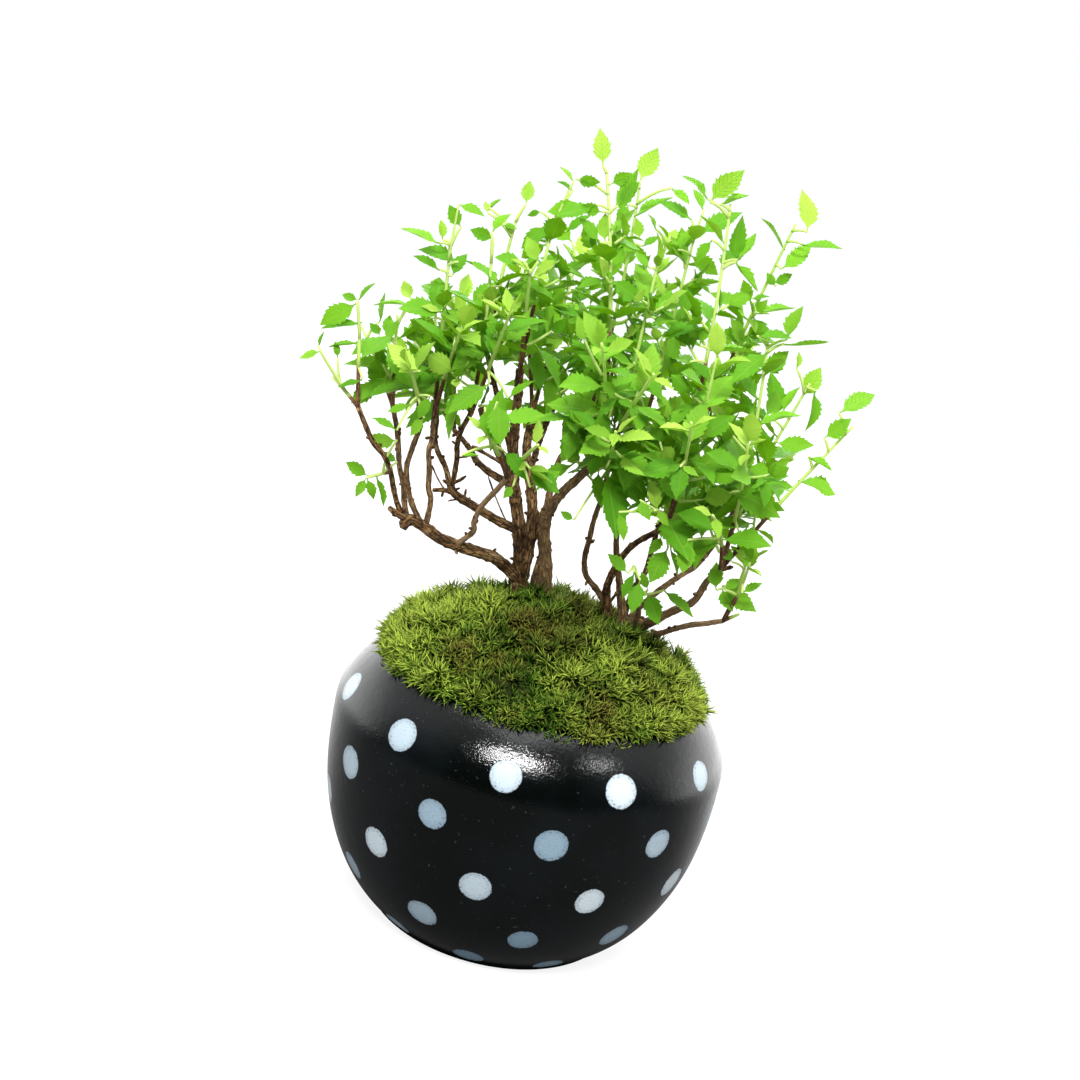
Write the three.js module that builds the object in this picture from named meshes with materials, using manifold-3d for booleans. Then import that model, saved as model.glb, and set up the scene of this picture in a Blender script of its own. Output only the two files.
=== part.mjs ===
// A small Japanese spirea grown as a bonsai: two woody clumps in a mossy ball pot.
// Millimetres, +Z up. The origin is the middle of the pot's flat base, on the ground.
import * as THREE from "three";
import { mergeVertices } from "three/addons/utils/BufferGeometryUtils.js";
import Module from "manifold-3d";

const wasm = await Module();
wasm.setup();

// Driving dimensions
const GAP = 0.3;
const POT_RADIUS = 45;
const POT_WIDEST = 45.5;
const POT_WALL = 4.4;
const POT_FLOOR = 5;
const POT_FOOT_BEVEL = 1;
const LIP_RADIUS = 2;
const LIP_CENTRE = { radius: 35.1, height: 58.9 };
const DRAIN_RADIUS = 3.2;
const DRAIN_RING = 10;
const DRAIN_ANGLES = [90, 210, 330];
const NET_RADIUS = 15.5;
const NET_THICKNESS = 0.8;
const NET_PITCH = 6.4;
const NET_OPENING = 4.8;
const SOIL_TOP = 55.5;
const MOSS_ROLL_RADIUS = 2.5;
const MOSS_EDGE = [[38.4, 59.5], [38.6, 60.8], [37.2, 62]];
const MOSS_RINGS = [34, 29, 23.5, 17.5, 11, 5];
const MOSS_SPHERE = { radius: 54.1, height: 21.8 };
const TWIG_RADII = [0.46, 0.42];
const SHOOT_RADII = [0.5, 0.36];
const GREEN_LENGTH = 42;
const LEAF_SPACING = 5.9;
const LEAF_LENGTH = 13.2;
const LEAF_LENGTH_LOSS = 4.2;
const TIP_LEAF_LENGTH = 9.4;
const SMALL_LEAF = 10.2;
const LEAF_THICKNESS = 0.7;
const LEAF_ROOT = 0.4;
const CLEARANCE = 1.2;

// The two halves of the pot's side are superellipses: their reach and their power.
const POT_UPPER = { reach: 26.5, power: 1.913 };
const POT_LOWER = { reach: 52.6, power: 2.469 };
const INNER_UPPER = { reach: 24.2, power: 1.913 };
const INNER_LOWER = { reach: 49, power: 2.469 };

// How a shoot bends: its knee's share of the way, and the knee's rise and its carry along
// the branch's own heading, as shares of the shoot's reach. Short shoots are nearly all green.
const KNEE = { share: 0.42, rise: 0.05, carry: 0.1 };
const SHORT_SHOOT = { reach: 22, woody: 0.15 };
const LEAST_WOODY = 0.3;
const STEM_SPOTS = 40;

// How leaves stand on a shoot. Young ones, near the tip, are shorter and more upright.
const GOLDEN_ANGLE = 137.5;
const AZIMUTH_PLAY = 0.25;
const LEAN = { oldest: 66, loss: 26, play: 8 };
const YOUNG_FROM = 0.35;
const FACING_UP = 0.9;
const SAG = { depth: 0.35, shortening: 0.1 };

// Where the two clumps stand, and the root collar of each: height and radius pairs.
const MAIN_FOOT = { x: -6.8, y: 8.4 };
const SIDE_FOOT = { x: 15.6, y: 8.4 };
const MAIN_COLLAR = [[44, 2.2], [54, 3.4], [68, 4.3], [75, 4.4], [76.6, 3.2]];
const SIDE_COLLAR = [[48, 2], [56, 3.4], [66, 4.6], [70.6, 4.4], [72, 3.2]];

// Every woody branch: the clump it belongs to, its radius at both ends, its route,
// and the tips of the leafy shoots that it carries.
const BRANCHES = [
  { name: "stem_left", clump: "main", radii: [1.9, 0.9],
    route: [[-7.5, 8.8, 68], [-10, 8, 77.5], [-11, 8, 83], [-13, 7, 91], [-15.5, 7, 98],
      [-17.5, 5, 107.5], [-18.5, 3, 117], [-19.5, 1, 126]],
    tips: [[-19, 11, 168], [-21, -20, 155]] },
  { name: "stem_middle", clump: "main", radii: [1.4, 0.9],
    route: [[-9.5, 8, 78], [-9.5, 6, 87.5], [-10, 5, 92.5], [-11, 7, 96.5], [-13, 10, 101.5],
      [-15, 13, 106.5], [-15.5, 17, 113.5]],
    tips: [[-29, 28, 152], [-13, 38, 156]] },
  { name: "stem_right", clump: "main", radii: [1.8, 0.8],
    route: [[-5.4, 8.2, 68], [-4.3, 8, 76.5], [-5, 7, 83], [-6.5, 6, 89], [-7, 5, 93],
      [-6.5, 3, 96.5], [-5, 0, 101], [-1.5, -5, 107.5], [1.5, -10, 113.5]],
    tips: [[-13, -4, 179], [-5, -42, 146], [9, -44, 142]] },
  { name: "fork_right", clump: "main", radii: [0.9, 0.6],
    route: [[-6.8, 5.6, 91], [-7.5, 8, 96.5], [-7.5, 12, 101], [-7, 17, 105.5], [-3.5, 22, 109.5]],
    tips: [[-4, 10, 177], [7, 26, 167]] },
  { name: "limb_low", clump: "main", radii: [1.35, 1.2],
    route: [[-9, 8, 76.5], [-15, 6, 81], [-18, 4, 82.5], [-25, 1, 84], [-29.5, -1, 85.5],
      [-33, -2, 87.5], [-36, -3, 88.5], [-37.5, -4, 87]],
    tips: [] },
  { name: "limb_low_stub", clump: "main", radii: [0.8, 0.58],
    route: [[-36, -3, 88.2], [-38.5, -4.4, 89.4], [-41, -4.6, 90.6]], tips: [] },
  { name: "low_1", clump: "main", radii: [0.66, 0.58],
    route: [[-32.5, -2, 87.6], [-32.5, -3, 94], [-33.5, -3, 96.5], [-34, -3, 100], [-35, -3, 104.5],
      [-35, -2, 107.5], [-35.5, -2, 112]],
    tips: [[-40, -4, 158], [-30, -26, 141]] },
  { name: "low_2", clump: "main", radii: [0.66, 0.58],
    route: [[-33.5, -2, 87.8], [-36, -5, 92.5], [-37.5, -6, 96], [-38.5, -8, 101], [-38, -9, 106],
      [-37, -10, 111.5]],
    tips: [[-42, -28, 130]] },
  { name: "low_3", clump: "main", radii: [0.66, 0.58],
    route: [[-36.6, -3, 88], [-38.5, -1, 92], [-39.5, 1, 95], [-41.5, 3, 98.5], [-43.5, 5, 105],
      [-46, 7, 110.5]],
    tips: [[-51, 10, 149], [-63, 20, 130]] },
  { name: "low_4", clump: "main", radii: [0.62, 0.58],
    route: [[-37, -3.4, 88], [-39, -4, 91], [-40.5, -5, 94.5], [-42, -6, 99], [-44, -7, 102.5],
      [-47, -8, 105.5], [-51, -9, 112]],
    tips: [[-65, -8, 121], [-55, -6, 137], [-49, -14, 96]] },
  { name: "grey_twig", clump: "main", radii: [0.66, 0.58],
    route: [[-25.5, 1, 84], [-22, -3, 89], [-22, -5, 92], [-21, -8, 96.5], [-18, -13, 102.5],
      [-16.5, -16, 106]],
    tips: [[-26, -36, 122], [-9, -44, 122]] },
  { name: "limb_mid", clump: "main", radii: [1.05, 0.9],
    route: [[-12.6, 7.2, 88.8], [-18, 6, 90.5], [-21.5, 5, 92], [-25, 4, 93.5], [-28, 3, 95],
      [-29.5, 3, 96.5]],
    tips: [] },
  { name: "limb_mid_stub", clump: "main", radii: [0.6, 0.45],
    route: [[-28, 3, 95], [-30.5, 2.6, 95.4], [-33, 2.8, 94.8]], tips: [] },
  { name: "mid_1", clump: "main", radii: [0.62, 0.58],
    route: [[-29.3, 3, 96], [-31.5, 5, 100], [-34, 7, 102.5], [-35.5, 9, 105], [-36, 10, 109]],
    tips: [[-46, 24, 142]] },
  { name: "mid_2", clump: "main", radii: [0.62, 0.58],
    route: [[-29, 3, 96], [-29, 1, 103], [-29.5, 0, 107], [-29, -2, 111], [-27.5, -4, 115.5]],
    tips: [[-31, -8, 158], [-21, -32, 147]] },
  { name: "limb_back_left", clump: "main", radii: [0.9, 0.58],
    route: [[-15.6, 7.4, 98.6], [-21.5, 11, 99.5], [-25.5, 15, 100.5], [-28.5, 19, 102.5],
      [-33, 24, 104.5]],
    tips: [[-53, 36, 121], [-40, 46, 139]] },
  { name: "limb_back", clump: "main", radii: [0.9, 0.58],
    route: [[-12.5, 9, 100], [-13, 14, 101.5], [-13, 20, 104.5], [-12.5, 28, 108.5]],
    tips: [[-22, 50, 145], [-4, 54, 139]] },
  { name: "left_high", clump: "main", radii: [0.7, 0.58],
    route: [[-17.5, 5, 106], [-21, 3, 114], [-24, 1, 121], [-27, -1, 128]],
    tips: [[-26, 1, 166]] },
  { name: "side_1", clump: "side", radii: [0.75, 0.58],
    route: [[14, 9, 68], [12, 9, 73.4], [8.4, 8.6, 78.4], [4.8, 7.2, 82], [3.5, 6, 86], [3.5, 4, 91],
      [3.5, 2, 96.5], [4, -2, 102.5]],
    tips: [[3, -44, 128], [4, -15, 163]] },
  { name: "side_2", clump: "side", radii: [0.95, 0.6],
    route: [[14, 9, 68], [11.5, 9, 74], [10, 8, 80], [10.5, 6, 85], [12, 3, 90.5], [14, 0, 94.5],
      [17, -4, 98.5], [19, -8, 102]],
    tips: [[15, -2, 178], [16, -42, 135], [19, -28, 149], [12, -38, 111]] },
  { name: "side_3", clump: "side", radii: [0.95, 0.55],
    route: [[15.6, 9, 67], [15, 9, 73.5], [13.5, 9.6, 78.5], [12, 10.6, 83], [10, 12, 89],
      [9, 14, 95], [9.5, 17, 100]],
    tips: [[11, 11, 170], [11, 48, 132]] },
  { name: "side_4", clump: "side", radii: [1.1, 0.65],
    route: [[16, 8, 68], [17.5, 7, 72.5], [20, 5, 74.5], [22.5, 2, 77.5], [25, 0, 80.5],
      [29, -3, 85], [30.5, -5, 90.5], [32.5, -7, 94.5]],
    tips: [[28, -16, 154], [56, -6, 138], [28, -32, 133], [23, -38, 115]] },
  { name: "side_5", clump: "side", radii: [0.75, 0.58],
    route: [[17, 8, 66], [19.6, 7, 70.6], [23, 4, 73], [26, 1, 76], [29.5, -2, 79], [33, -4, 81],
      [36, -6, 83]],
    tips: [[52, -4, 117], [43, -14, 91], [36, -24, 107]] },
  { name: "side_6", clump: "side", radii: [0.8, 0.58],
    route: [[16.4, 9, 68], [17, 10, 73.5], [18.5, 12, 76], [22.5, 14, 81], [26, 17, 84],
      [29, 20, 86], [31.5, 23, 89]],
    tips: [[46, 18, 142], [47, 36, 118]] },
  { name: "side_7", clump: "side", radii: [0.7, 0.58],
    route: [[15.4, 9.4, 68], [16, 13, 78.5], [18, 17, 82.5], [18.5, 21, 85], [19, 27, 90]],
    tips: [[33, 10, 176], [31, 42, 142], [32, 50, 109]] },
  { name: "side_8", clump: "side", radii: [0.66, 0.58],
    route: [[16.6, 7, 69], [18, 2, 76], [17.4, -4, 81.6], [16.4, -8, 86]],
    tips: [[19, -18, 82], [12, -32, 99]] },
];

// Half outline of a toothed leaf, from its base to its tip: distance along it as a share
// of its length, and half width as a share of its full width.
const LEAF_OUTLINE = [[0, 0], [0.4, 0.5], [0.56, 0.33], [0.72, 0.37], [1, 0]];
const SMALL_LEAF_OUTLINE = [[0, 0], [0.44, 0.5], [0.6, 0.34], [1, 0]];
// Points over a leaf that are kept clear of everything else: along, and across.
const LEAF_PROBES = [[0.25, 0], [0.45, 0], [0.65, 0], [0.85, 0], [1, 0], [0.42, 0.36], [0.42, -0.36],
  [0.66, 0.3], [0.66, -0.3]];
const TURNS = [0, 22, -22, 44, -44, 66, -66, 88, -88];

const material = (color, roughness) => new THREE.MeshStandardMaterial({ color, roughness, metalness: 0 });
const POT_GLAZE = material(0x1b1e24, 0.35);
const NET_PLASTIC = material(0x2b2b2b, 0.6);
const SOIL_GRIT = material(0x4a3626, 0.95);
const MOSS_GREEN = material(0x6f8a2a, 0.95);
const BARK = material(0x4f382c, 0.9);
const LEAF_GREEN = material(0x57a830, 0.55);

const radians = THREE.MathUtils.degToRad;
const UP = new THREE.Vector3(0, 0, 1);
const vector = ([x, y, z]) => new THREE.Vector3(x, y, z);

// A seeded draw of numbers between two limits: a linear congruential series.
function drawFrom(seed) {
  let state = seed;
  const draw = (low, high) => {
    state = (Math.imul(state, 1664525) + 1013904223) >>> 0;
    return low + ((high - low) * state) / 4294967296;
  };
  draw(0, 1);
  draw(0, 1);
  return draw;
}

// A closed geometry becomes a solid: doubles merged, flat slivers dropped, faces outward.
function solidOf(geometry) {
  const bare = new THREE.BufferGeometry();
  bare.setAttribute("position", geometry.getAttribute("position").clone());
  if (geometry.index) bare.setIndex(geometry.index.clone());
  const merged = mergeVertices(bare, 1e-4);
  const spots = merged.getAttribute("position").array;
  const corners = merged.index.array;
  const kept = [];
  let volume = 0;
  for (let i = 0; i < corners.length; i += 3) {
    const [a, b, c] = [corners[i], corners[i + 1], corners[i + 2]];
    if (a === b || b === c || c === a) continue;
    kept.push(a, b, c);
    const [p, q, r] = [a, b, c].map((n) => new THREE.Vector3().fromArray(spots, 3 * n));
    volume += p.dot(q.cross(r));
  }
  if (volume < 0) kept.reverse();
  const mesh = new wasm.Mesh({
    numProp: 3,
    vertProperties: new Float32Array(spots),
    triVerts: new Uint32Array(kept),
  });
  return new wasm.Manifold(mesh);
}

function meshOf(name, solid, finish) {
  const { vertProperties, triVerts } = solid.getMesh();
  const geometry = new THREE.BufferGeometry();
  geometry.setAttribute("position", new THREE.BufferAttribute(vertProperties, 3));
  geometry.setIndex(new THREE.BufferAttribute(triVerts, 1));
  geometry.computeVertexNormals();
  const mesh = new THREE.Mesh(geometry, finish);
  mesh.name = name;
  return mesh;
}

// A profile of radius and height pairs, turned about the upright axis at a place.
function turned(profile, sides, at = { x: 0, y: 0 }) {
  const lathe = new THREE.LatheGeometry(profile.map(([r, z]) => new THREE.Vector2(r, z)), sides);
  lathe.rotateX(Math.PI / 2);
  lathe.translate(at.x, at.y, 0);
  return solidOf(lathe);
}

// Radius of the ball pot's wall at a height, outside or inside.
function wallRadius(height, widest, upper, lower) {
  const half = height > POT_WIDEST ? upper : lower;
  const share = Math.abs(height - POT_WIDEST) / half.reach;
  return widest * (1 - share ** half.power) ** (1 / half.power);
}
const outerRadius = (height) => wallRadius(height, POT_RADIUS, POT_UPPER, POT_LOWER);
const innerRadius = (height) => wallRadius(height, POT_RADIUS - POT_WALL, INNER_UPPER, INNER_LOWER);

// Points on a circle round the middle of the lip, in the profile's plane.
const lipArc = (radius, angles) => angles.map((degrees) => [
  LIP_CENTRE.radius + radius * Math.cos(radians(degrees)),
  LIP_CENTRE.height + radius * Math.sin(radians(degrees)),
]);

// The pot: a thin ball with a rounded lip, a flat base and three drain holes.
function makePot() {
  const outside = [1, 7, 16, 27, 38, 48, 54.5, 58.6].map((z) => [outerRadius(z), z]);
  const inside = [54, 44, 28, 11].map((z) => [innerRadius(z), z]);
  const profile = [
    [0, 0], [outerRadius(0) - POT_FOOT_BEVEL, 0], ...outside,
    ...lipArc(LIP_RADIUS, [48, 100, 180]), ...inside,
    [innerRadius(POT_FLOOR) - 2, POT_FLOOR], [0, POT_FLOOR],
  ];
  let pot = turned(profile, 28);
  for (const degrees of DRAIN_ANGLES) {
    const hole = new THREE.CylinderGeometry(DRAIN_RADIUS, DRAIN_RADIUS, 3 * POT_FLOOR, 10);
    hole.rotateX(Math.PI / 2);
    hole.translate(DRAIN_RING * Math.cos(radians(degrees)), DRAIN_RING * Math.sin(radians(degrees)), 0);
    pot = pot.subtract(solidOf(hole));
  }
  return pot;
}

// The drain net: a disc with a square grid of openings, lying over the drain holes.
function makeNet() {
  const [under, over] = [POT_FLOOR + GAP, POT_FLOOR + GAP + NET_THICKNESS];
  let net = turned([[0, under], [NET_RADIUS, under], [NET_RADIUS, over], [0, over]], 16);
  for (const column of [-1, 0, 1]) {
    for (const row of [-1, 0, 1]) {
      const opening = new THREE.BoxGeometry(NET_OPENING, NET_OPENING, 3 * NET_THICKNESS);
      opening.translate(column * NET_PITCH, row * NET_PITCH, under);
      net = net.subtract(solidOf(opening));
    }
  }
  return net;
}

// The hole that a clump's root collar stands in, and the collar itself.
const collar = (rings, foot, spare) => turned(
  [[0, rings[0][0] - spare], ...rings.map(([z, r]) => [r + spare, z]), [0, rings.at(-1)[0] + spare]],
  8, foot);
const holeFor = (rings, foot) => collar(
  [...rings.slice(0, -1), [rings.at(-1)[0] + 8, rings.at(-2)[1] + 2]], foot, GAP);

// The soil fills the pot, with a step over the net and a hole for each clump.
function makeSoil() {
  const side = [11, 28, 44, SOIL_TOP].map((z) => [innerRadius(z) - 2 * GAP, z]);
  const overNet = POT_FLOOR + 2 * GAP + NET_THICKNESS;
  const profile = [
    [0, overNet], [NET_RADIUS + GAP, overNet], [NET_RADIUS + GAP, POT_FLOOR + GAP],
    [innerRadius(POT_FLOOR) - 3, POT_FLOOR + GAP], ...side, [0, SOIL_TOP],
  ];
  return turned(profile, 16)
    .subtract(holeFor(MAIN_COLLAR, MAIN_FOOT))
    .subtract(holeFor(SIDE_COLLAR, SIDE_FOOT));
}

// Height of the moss: a low dome with tufty lumps, that dips where a clump stands. The
// lumps are three crossing waves, and a dip is a soft hollow some 8 mm in radius.
function mossHeight(x, y) {
  const dome = MOSS_SPHERE.height + Math.sqrt(MOSS_SPHERE.radius ** 2 - x * x - y * y);
  const lumps = Math.sin(0.34 * x + 0.9) * Math.cos(0.31 * y - 0.4) + 0.6 * Math.sin(0.42 * x - 0.39 * y)
    + 0.3 * Math.cos(0.9 * y + 0.6 * x);
  const dip = (foot, depth) => depth * Math.exp(-((x - foot.x) ** 2 + (y - foot.y) ** 2) / 70);
  return dome + lumps - dip(MAIN_FOOT, 0.9) - dip(SIDE_FOOT, 2.4);
}

// The moss mat: lies on the soil, rolls over the pot's lip, and rises to a lumpy dome.
// Its upper edge wanders in and out a little, as moss does.
function makeMoss() {
  const under = SOIL_TOP + GAP;
  const rolled = lipArc(MOSS_ROLL_RADIUS, [180, 120, 75]);
  const mould = 100;
  const profile = [
    [0, under], [LIP_CENTRE.radius - LIP_RADIUS - 0.8, under], ...rolled, ...MOSS_EDGE,
    ...MOSS_RINGS.map((r) => [r, mould]), [0, mould],
  ];
  const lathe = new THREE.LatheGeometry(profile.map(([r, z]) => new THREE.Vector2(r, z)), 26);
  lathe.rotateX(Math.PI / 2);
  const spots = lathe.getAttribute("position");
  for (let i = 0; i < spots.count; i += 1) {
    const [x, y, z] = [spots.getX(i), spots.getY(i), spots.getZ(i)];
    const angle = Math.atan2(y, x);
    const ragged = 1 + 0.012 * Math.sin(7 * angle) + 0.01 * Math.sin(11 * angle + 1);
    if (z > mould - 1) spots.setZ(i, mossHeight(x, y));
    else if (z > MOSS_EDGE[0][1] + 1) spots.setXY(i, x * ragged, y * ragged);
  }
  return solidOf(lathe)
    .subtract(holeFor(MAIN_COLLAR, MAIN_FOOT))
    .subtract(holeFor(SIDE_COLLAR, SIDE_FOOT));
}

// A round limb along a curve, between two shares of it, tapered, with flat ends.
function limb(curve, steps, sides, [startRadius, endRadius], [from, to] = [0, 1], swell = 0) {
  const frames = curve.computeFrenetFrames(1, false);
  const spots = [];
  let across = frames.normals[0].clone();
  for (let i = 0; i <= steps; i += 1) {
    const t = from + ((to - from) * i) / steps;
    const at = curve.getPoint(t);
    const along = curve.getTangent(t);
    across.addScaledVector(along, -across.dot(along)).normalize();
    const over = new THREE.Vector3().crossVectors(along, across);
    const lump = i > 0 && i < steps ? 1 + swell * Math.sin(2.4 * i) : 1;
    const radius = (startRadius + ((endRadius - startRadius) * i) / steps) * lump;
    for (let k = 0; k < sides; k += 1) {
      const angle = (2 * Math.PI * k) / sides;
      spots.push(...at.clone()
        .addScaledVector(across, radius * Math.cos(angle))
        .addScaledVector(over, radius * Math.sin(angle)).toArray());
    }
  }
  const corners = [];
  for (let i = 0; i < steps; i += 1) {
    for (let k = 0; k < sides; k += 1) {
      const [a, b] = [i * sides + k, i * sides + ((k + 1) % sides)];
      corners.push(a, b, b + sides, a, b + sides, a + sides);
    }
  }
  const last = steps * sides;
  for (let k = 1; k < sides - 1; k += 1) {
    corners.push(0, k + 1, k, last, last + k, last + k + 1);
  }
  const geometry = new THREE.BufferGeometry();
  geometry.setAttribute("position", new THREE.Float32BufferAttribute(spots, 3));
  geometry.setIndex(corners);
  return solidOf(geometry);
}

const branchCurve = ({ route }) => new THREE.CatmullRomCurve3(route.map(vector), false, "catmullrom", 0.5);

// A shoot's whole route bends from the branch's end to its tip. The first part is
// woody and belongs to the clump. The green part starts a clearance further on.
function routeOf(branch, tip) {
  const route = branch.route.map(vector);
  const end = route.at(-1);
  const heading = end.clone().sub(route.at(-2)).normalize();
  const reach = end.distanceTo(tip);
  const knee = end.clone().lerp(tip, KNEE.share)
    .addScaledVector(UP, KNEE.rise * reach)
    .addScaledVector(heading, KNEE.carry * reach);
  const curve = new THREE.QuadraticBezierCurve3(end, knee, tip);
  const long = reach > SHORT_SHOOT.reach;
  const split = long ? Math.max(LEAST_WOODY, 1 - GREEN_LENGTH / reach) : SHORT_SHOOT.woody;
  const stop = 1 - (TIP_LEAF_LENGTH - 2 * LEAF_ROOT) / reach;
  return { curve, reach, split, start: split + GAP / reach, stop };
}

// Everything that a leaf has to clear: spots with a radius and the name of their owner.
const taken = [];
const takeSpot = (spot, radius, owner) => taken.push({ spot, radius, owner });
const isClear = (spots, owner) => spots.every((spot) => taken.every((other) => other.owner === owner
  || spot.distanceTo(other.spot) > other.radius + CLEARANCE));

// The frame of a leaf: where it leaves the stem, its direction and its upper side.
function leafFrame(curve, share, azimuth, lean, isTip) {
  const at = curve.getPoint(share);
  const along = curve.getTangent(share);
  const chord = curve.v2.clone().sub(curve.v0).normalize();
  const reference = Math.abs(chord.z) > 0.7 ? new THREE.Vector3(1, 0, 0) : UP;
  const sideways = new THREE.Vector3().crossVectors(chord, reference).normalize();
  const forward = new THREE.Vector3().crossVectors(chord, sideways);
  const outward = sideways.multiplyScalar(Math.cos(azimuth)).addScaledVector(forward, Math.sin(azimuth));
  outward.addScaledVector(along, -outward.dot(along)).normalize();
  const direction = along.clone().multiplyScalar(Math.cos(lean)).addScaledVector(outward, Math.sin(lean));
  const upper = (isTip ? outward : along).clone();
  upper.addScaledVector(direction, -upper.dot(direction)).normalize();
  if (!isTip) {
    upper.addScaledVector(UP, FACING_UP).addScaledVector(direction, -FACING_UP * direction.z).normalize();
  }
  const across = new THREE.Vector3().crossVectors(direction, upper).normalize();
  return { at, direction, upper, across };
}

// A place on an arched leaf: along and across it, and above or below its middle.
function onLeaf({ at, direction, upper, across, length, width, sag }, along, side, above) {
  return at.clone()
    .addScaledVector(direction, along * length * (1 - SAG.shortening * sag * along))
    .addScaledVector(across, side * width * length)
    .addScaledVector(upper, above - SAG.depth * sag * length * along * along);
}

// The leaves of one shoot stand round it at the golden angle. One that would touch
// another is turned about the stem, and one that finds no room is left out.
function leavesOf(route, seed, owner) {
  const draw = drawFrom(seed);
  const { curve, reach, start, stop } = route;
  const count = Math.max(3, Math.round(((stop - start) * reach) / LEAF_SPACING));
  const leaves = [];
  let azimuth = draw(0, 2 * Math.PI);
  for (let i = 0; i <= count; i += 1) {
    const isTip = i === count;
    const age = isTip ? 1 : (i + 0.5) / count;
    const share = isTip ? stop - LEAF_ROOT / reach : start + (stop - start) * age;
    azimuth += radians(GOLDEN_ANGLE) + draw(-AZIMUTH_PLAY, AZIMUTH_PLAY);
    const youth = Math.max(0, (age - YOUNG_FROM) / (1 - YOUNG_FROM));
    const full = (LEAF_LENGTH - LEAF_LENGTH_LOSS * youth) * draw(0.88, 1.1);
    const length = isTip ? TIP_LEAF_LENGTH * draw(0.96, 1.08) : full;
    const lean = radians(isTip ? draw(3, 12) : LEAN.oldest - LEAN.loss * age + draw(-LEAN.play, LEAN.play));
    const width = draw(0.43, 0.52);
    const sag = isTip ? 0.1 : draw(0.1, 0.8) * (1 - 0.6 * age);
    for (const turn of TURNS) {
      const frame = leafFrame(curve, share, azimuth + radians(turn), lean, isTip);
      const leaf = { ...frame, length, width, sag };
      const probes = LEAF_PROBES.map(([x, y]) => onLeaf(leaf, x, y, 0));
      if (!isClear(probes, owner)) continue;
      leaves.push(leaf);
      probes.forEach((spot) => takeSpot(spot, CLEARANCE, ""));
      break;
    }
  }
  return leaves;
}

// A leaf blade: a toothed plate, arched along its length, alike on both faces. Its
// outline runs from the base to the tip in pairs of points, left and right.
function leafSolid(leaf) {
  const outline = leaf.length < SMALL_LEAF ? SMALL_LEAF_OUTLINE : LEAF_OUTLINE;
  const face = (above) => outline.flatMap(([along, wide]) => (wide > 0 ? [wide, -wide] : [0])
    .map((side) => onLeaf(leaf, along, side, above)));
  const spots = [...face(LEAF_THICKNESS / 2), ...face(-LEAF_THICKNESS / 2)];
  const count = spots.length / 2;
  const tip = count - 1;
  const top = [0, 1, 2];
  for (let i = 1; i < tip - 2; i += 2) top.push(i, i + 2, i + 3, i, i + 3, i + 1);
  top.push(tip - 2, tip, tip - 1);
  const rights = Array.from({ length: (tip - 1) / 2 }, (_, i) => 2 * i + 1);
  const rim = [0, ...rights, tip, ...rights.map((i) => i + 1).reverse()];
  const corners = [...top];
  for (let i = 0; i < top.length; i += 3) {
    corners.push(top[i] + count, top[i + 2] + count, top[i + 1] + count);
  }
  rim.forEach((a, i) => {
    const b = rim[(i + 1) % rim.length];
    corners.push(a, a + count, b + count, a, b + count, b);
  });
  const geometry = new THREE.BufferGeometry().setFromPoints(spots);
  geometry.setIndex(corners);
  return solidOf(geometry);
}

// The plant: routes first, so that every leaf can clear all wood and all stems.
const shoots = [];
for (const branch of BRANCHES) {
  const curve = branchCurve(branch);
  const steps = 4 * (branch.route.length - 1);
  for (let i = 0; i <= steps; i += 1) {
    const radius = THREE.MathUtils.lerp(branch.radii[0], branch.radii[1], i / steps);
    takeSpot(curve.getPoint(i / steps), radius, "wood");
  }
  branch.tips.forEach((tip, i) => {
    const name = `shoot_${branch.name}${branch.tips.length > 1 ? `_${"abcd"[i]}` : ""}`;
    shoots.push({ name, clump: branch.clump, ...routeOf(branch, vector(tip)) });
  });
}
for (const shoot of shoots) {
  for (let i = 0; i <= STEM_SPOTS; i += 1) {
    const share = (shoot.stop * i) / STEM_SPOTS;
    const owner = share > shoot.split ? shoot.name : "wood";
    takeSpot(shoot.curve.getPoint(share), SHOOT_RADII[0], owner);
  }
}
shoots.forEach((shoot, i) => {
  shoot.leaves = leavesOf(shoot, 7919 * i + 17, shoot.name);
});

// One clump: its root collar, its branches and the woody start of each of its shoots.
function makeClump(clump, rings, foot) {
  const pieces = [collar(rings, foot, 0)];
  for (const branch of BRANCHES.filter((one) => one.clump === clump)) {
    const sides = branch.radii[0] > 1.2 ? 5 : 4;
    const steps = branch.route.length - 1;
    pieces.push(limb(branchCurve(branch), steps, sides, branch.radii, [0, 1], 0.1));
  }
  for (const shoot of shoots.filter((one) => one.clump === clump)) {
    pieces.push(limb(shoot.curve, 1, 3, TWIG_RADII, [0, shoot.split]));
  }
  return wasm.Manifold.union(pieces);
}

// One leafy shoot: its green stem with every leaf grown into it.
function makeShoot({ curve, reach, start, stop, leaves }) {
  const steps = Math.max(2, Math.round(((stop - start) * reach) / 9));
  const stem = limb(curve, steps, 3, SHOOT_RADII, [start, stop]);
  return wasm.Manifold.union([stem, ...leaves.map(leafSolid)]);
}

const bonsai = new THREE.Group();
bonsai.add(
  meshOf("pot", makePot(), POT_GLAZE),
  meshOf("drain_net", makeNet(), NET_PLASTIC),
  meshOf("soil", makeSoil(), SOIL_GRIT),
  meshOf("moss", makeMoss(), MOSS_GREEN),
  meshOf("wood_main", makeClump("main", MAIN_COLLAR, MAIN_FOOT), BARK),
  meshOf("wood_side", makeClump("side", SIDE_COLLAR, SIDE_FOOT), BARK),
);
for (const shoot of shoots) {
  bonsai.add(meshOf(shoot.name, makeShoot(shoot), LEAF_GREEN));
}

export default bonsai;
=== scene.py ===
"""A small Japanese spirea bonsai in a dotted ball pot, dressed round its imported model.

The file follows the plant as it is potted up: the pot, the drain net and the soil,
the moss, the two woody clumps, the leafy shoots, and last the light that it stands in.
Sizes are millimetres until a mesh is made, which is in metres.
"""
import math

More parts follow.
